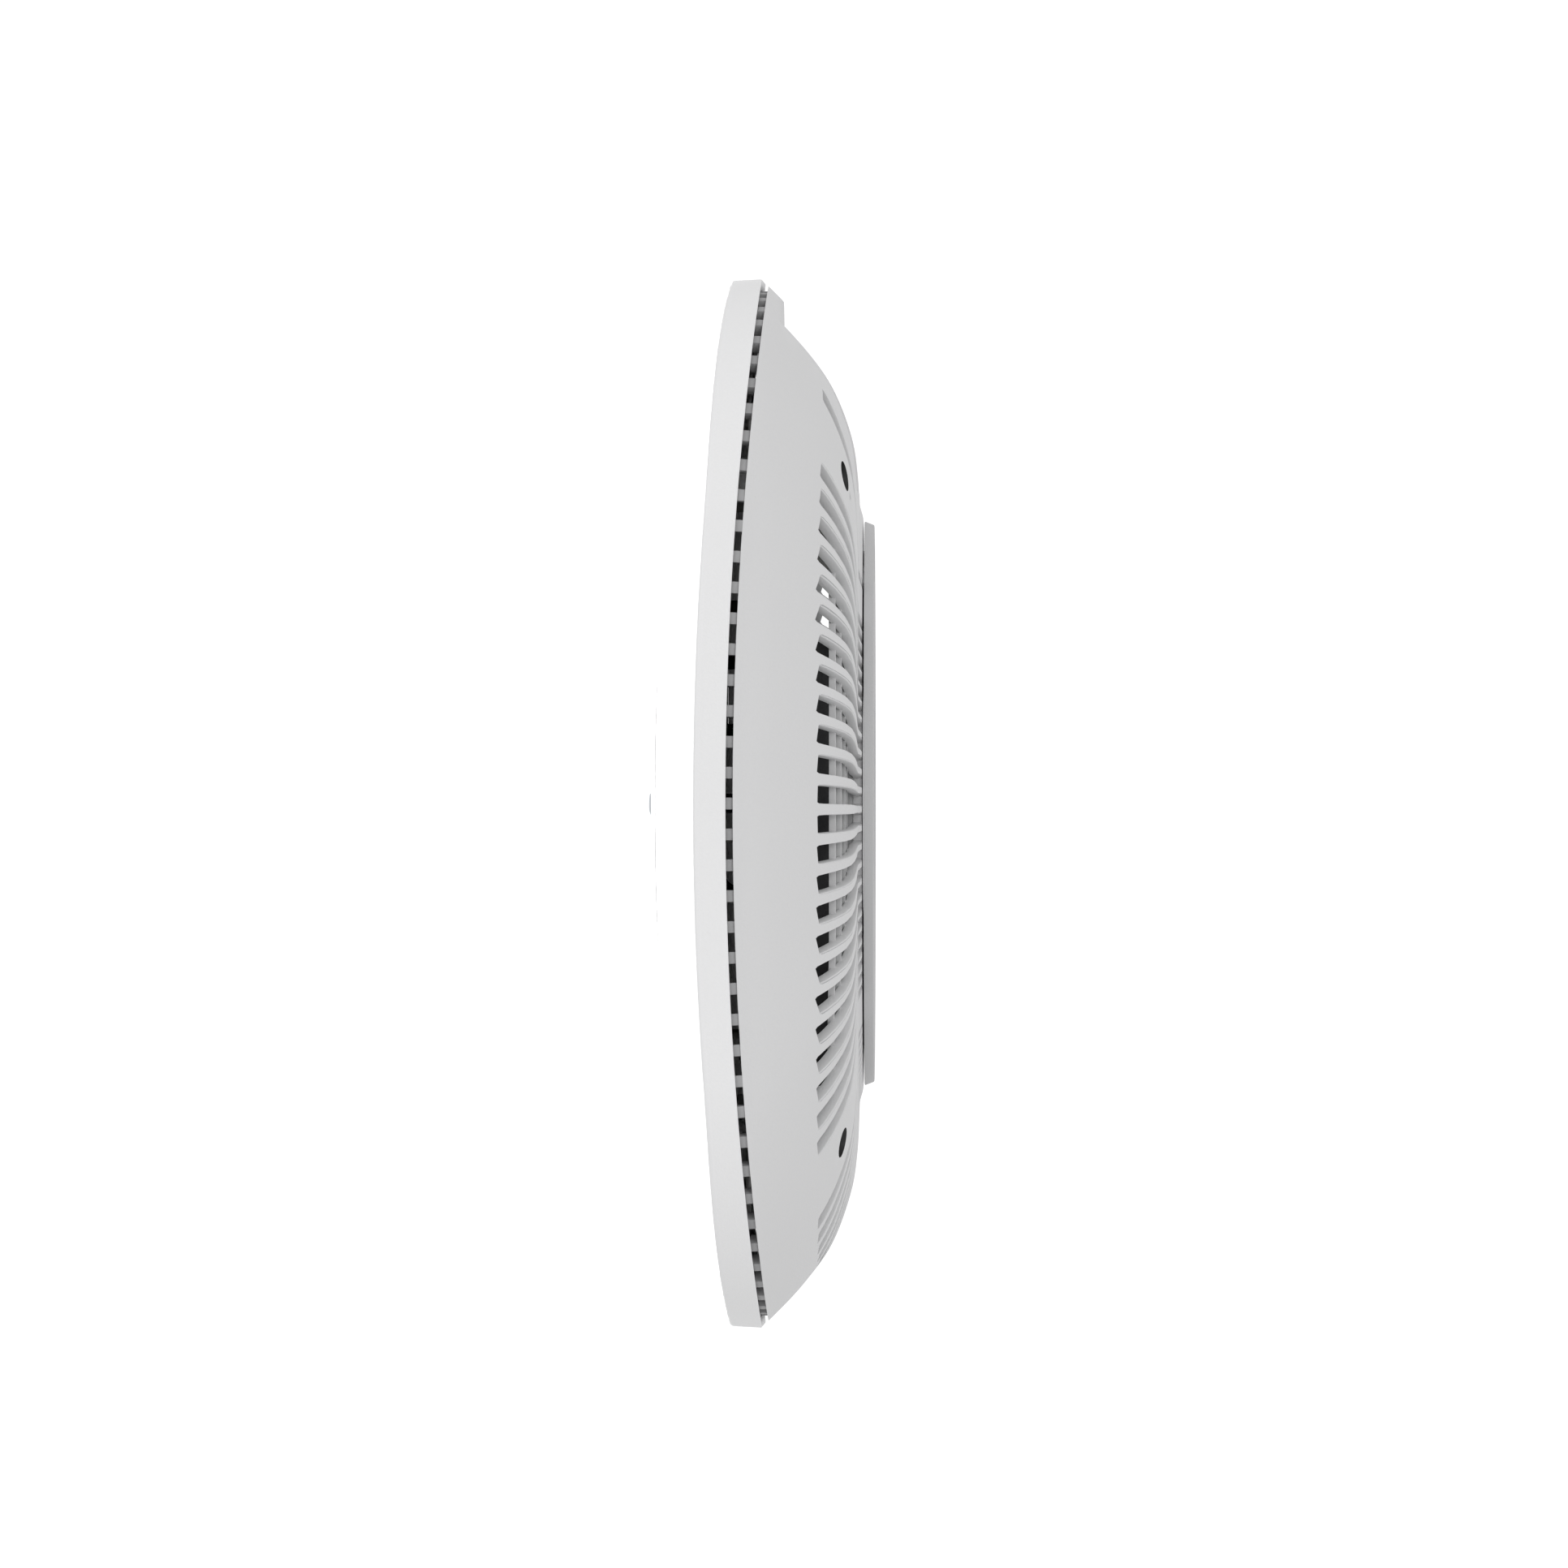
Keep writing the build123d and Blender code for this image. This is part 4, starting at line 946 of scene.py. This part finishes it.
cover_rings.append(cover_ring(WALL, lambda x, y: dome_depth(x, y) - WALL - 0.6))
cover_rings.append(cover_ring(WALL + INNER_ROUND, lambda x, y: dome_depth(x, y) - WALL))
for k in range(INNER_ROWS - 1, -1, -1):
    cover_rings.append(dome_ring(k / INNER_ROWS, POCKET_R + 2.6, WALL + INNER_ROUND, WALL))
cover_rings.append(dome_ring(0.0, POCKET_R + 2.3, 0.0, WALL + POCKET_WALL))
cover_rings.append(lens_ring(WALL + POCKET_WALL))
cover = skinned("front_cover_finished", cover_rings, cover_plastic, join_ends=True)
posts = []
for x, y in screw_spots:
    bottom = dome_depth(x, y) - WALL + 0.4
    profile = [(POST_BORE, bottom - 12), (POST_BORE, POST_TOP + 0.3), (POST_BORE + 0.2, POST_TOP),
               (POST_R - 0.2, POST_TOP), (POST_R, POST_TOP + 0.2), (POST_R, bottom - 1.5),
               (POST_FOOT, bottom), (POST_BORE, bottom)]
    rings = [[(px, py, -depth) for px, py in round_outline(x, y, radius, POST_SIDES)]
             for radius, depth in profile]
    posts.append(skinned("post", rings, cover_plastic, join_ends=True))
cover = joined([cover, *posts], "front_cover_finished")
cover.data.materials.clear()
cover.data.materials.append(cover_plastic)
cover.data.shade_smooth()
cover.data.set_sharp_from_angle(angle=math.radians(38))
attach(cover, "unit")
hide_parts("front_cover")

# The front disc and the thin ring round it are separate white mouldings glued into the
# cover's pocket. The ring lies a little below the dome and the disc a little above it.
DISC_R = 32.2
RING_R = 35.1
LENS_R = 2.5
DISC_TOP = -0.1             # the disc's face stands proud of the dome
RING_TOP = 0.35             # the ring's face lies behind it
LATHE_STEPS = 160
disc_plastic = grained("disc_plastic", (0.82, 0.82, 0.825), 0.36, 2400.0, 0.01, drift=0.04, wear=0.1)


def lathed(name, profile, material):
    """A ring turned about Z; each profile point is a radius and a depth behind the dome's face."""
    rings = []
    for radius, behind in profile:
        ring = round_outline(0, 0, radius, LATHE_STEPS)
        rings.append([(x, y, behind - dome_depth(x, y)) for x, y in ring])
    piece = skinned(name, rings, material, join_ends=True)
    piece.data.shade_smooth()
    piece.data.set_sharp_from_angle(angle=math.radians(38))
    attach(piece, "unit")
    return piece


disc_profile = [(LENS_R + 0.05, 1.55), (LENS_R + 0.05, 0.1), (LENS_R + 0.3, DISC_TOP)]
disc_profile += [(r, DISC_TOP) for r in (6, 10, 14, 18, 22, 26, 29, 31.6)]
disc_profile += [(31.95, -0.06), (32.12, 0.04), (DISC_R, 0.22), (DISC_R, 1.45), (DISC_R - 0.1, 1.55)]
disc = lathed("front_disc_finished", disc_profile, disc_plastic)
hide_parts("front_disc")
ring_profile = [(DISC_R + 0.06, 1.5), (DISC_R + 0.06, RING_TOP + 0.1), (DISC_R + 0.16, RING_TOP),
                (33.6, RING_TOP), (RING_R - 0.12, RING_TOP), (RING_R, RING_TOP + 0.12), (RING_R, 1.5)]
trim = lathed("disc_ring_finished", ring_profile, disc_plastic)
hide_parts("disc_ring")

# The light pipe is a moulded acrylic rod over the board's status light. The lens at its end
# is pressed into the disc's middle. Both are frosted.
frosted = bpy.data.materials.new("frosted_lens")
frosted.use_nodes = True
frost_nodes, frost_links = frosted.node_tree.nodes, frosted.node_tree.links
frost = frost_nodes["Principled BSDF"]
frost.inputs["Base Color"].default_value = (0.62, 0.65, 0.68, 1)
frost.inputs["IOR"].default_value = 1.49
frost_noise = frost_nodes.new("ShaderNodeTexNoise")
frost_noise.inputs["Scale"].default_value = 1800.0
frost_place = frost_nodes.new("ShaderNodeTexCoord")
frost_range = frost_nodes.new("ShaderNodeMapRange")
frost_range.inputs["To Min"].default_value = 0.25
frost_range.inputs["To Max"].default_value = 0.45
frost_bump = frost_nodes.new("ShaderNodeBump")
frost_bump.inputs["Distance"].default_value = 0.01 * MM
frost_links.new(frost_place.outputs["Object"], frost_noise.inputs["Vector"])
frost_links.new(frost_noise.outputs["Fac"], frost_range.inputs["Value"])
frost_links.new(frost_range.outputs["Result"], frost.inputs["Roughness"])
frost_links.new(frost_noise.outputs["Fac"], frost_bump.inputs["Height"])
frost_links.new(frost_bump.outputs["Normal"], frost.inputs["Normal"])
softened("light_pipe", frosted, 0.2)
softened("led_lens", frosted, 0.25)
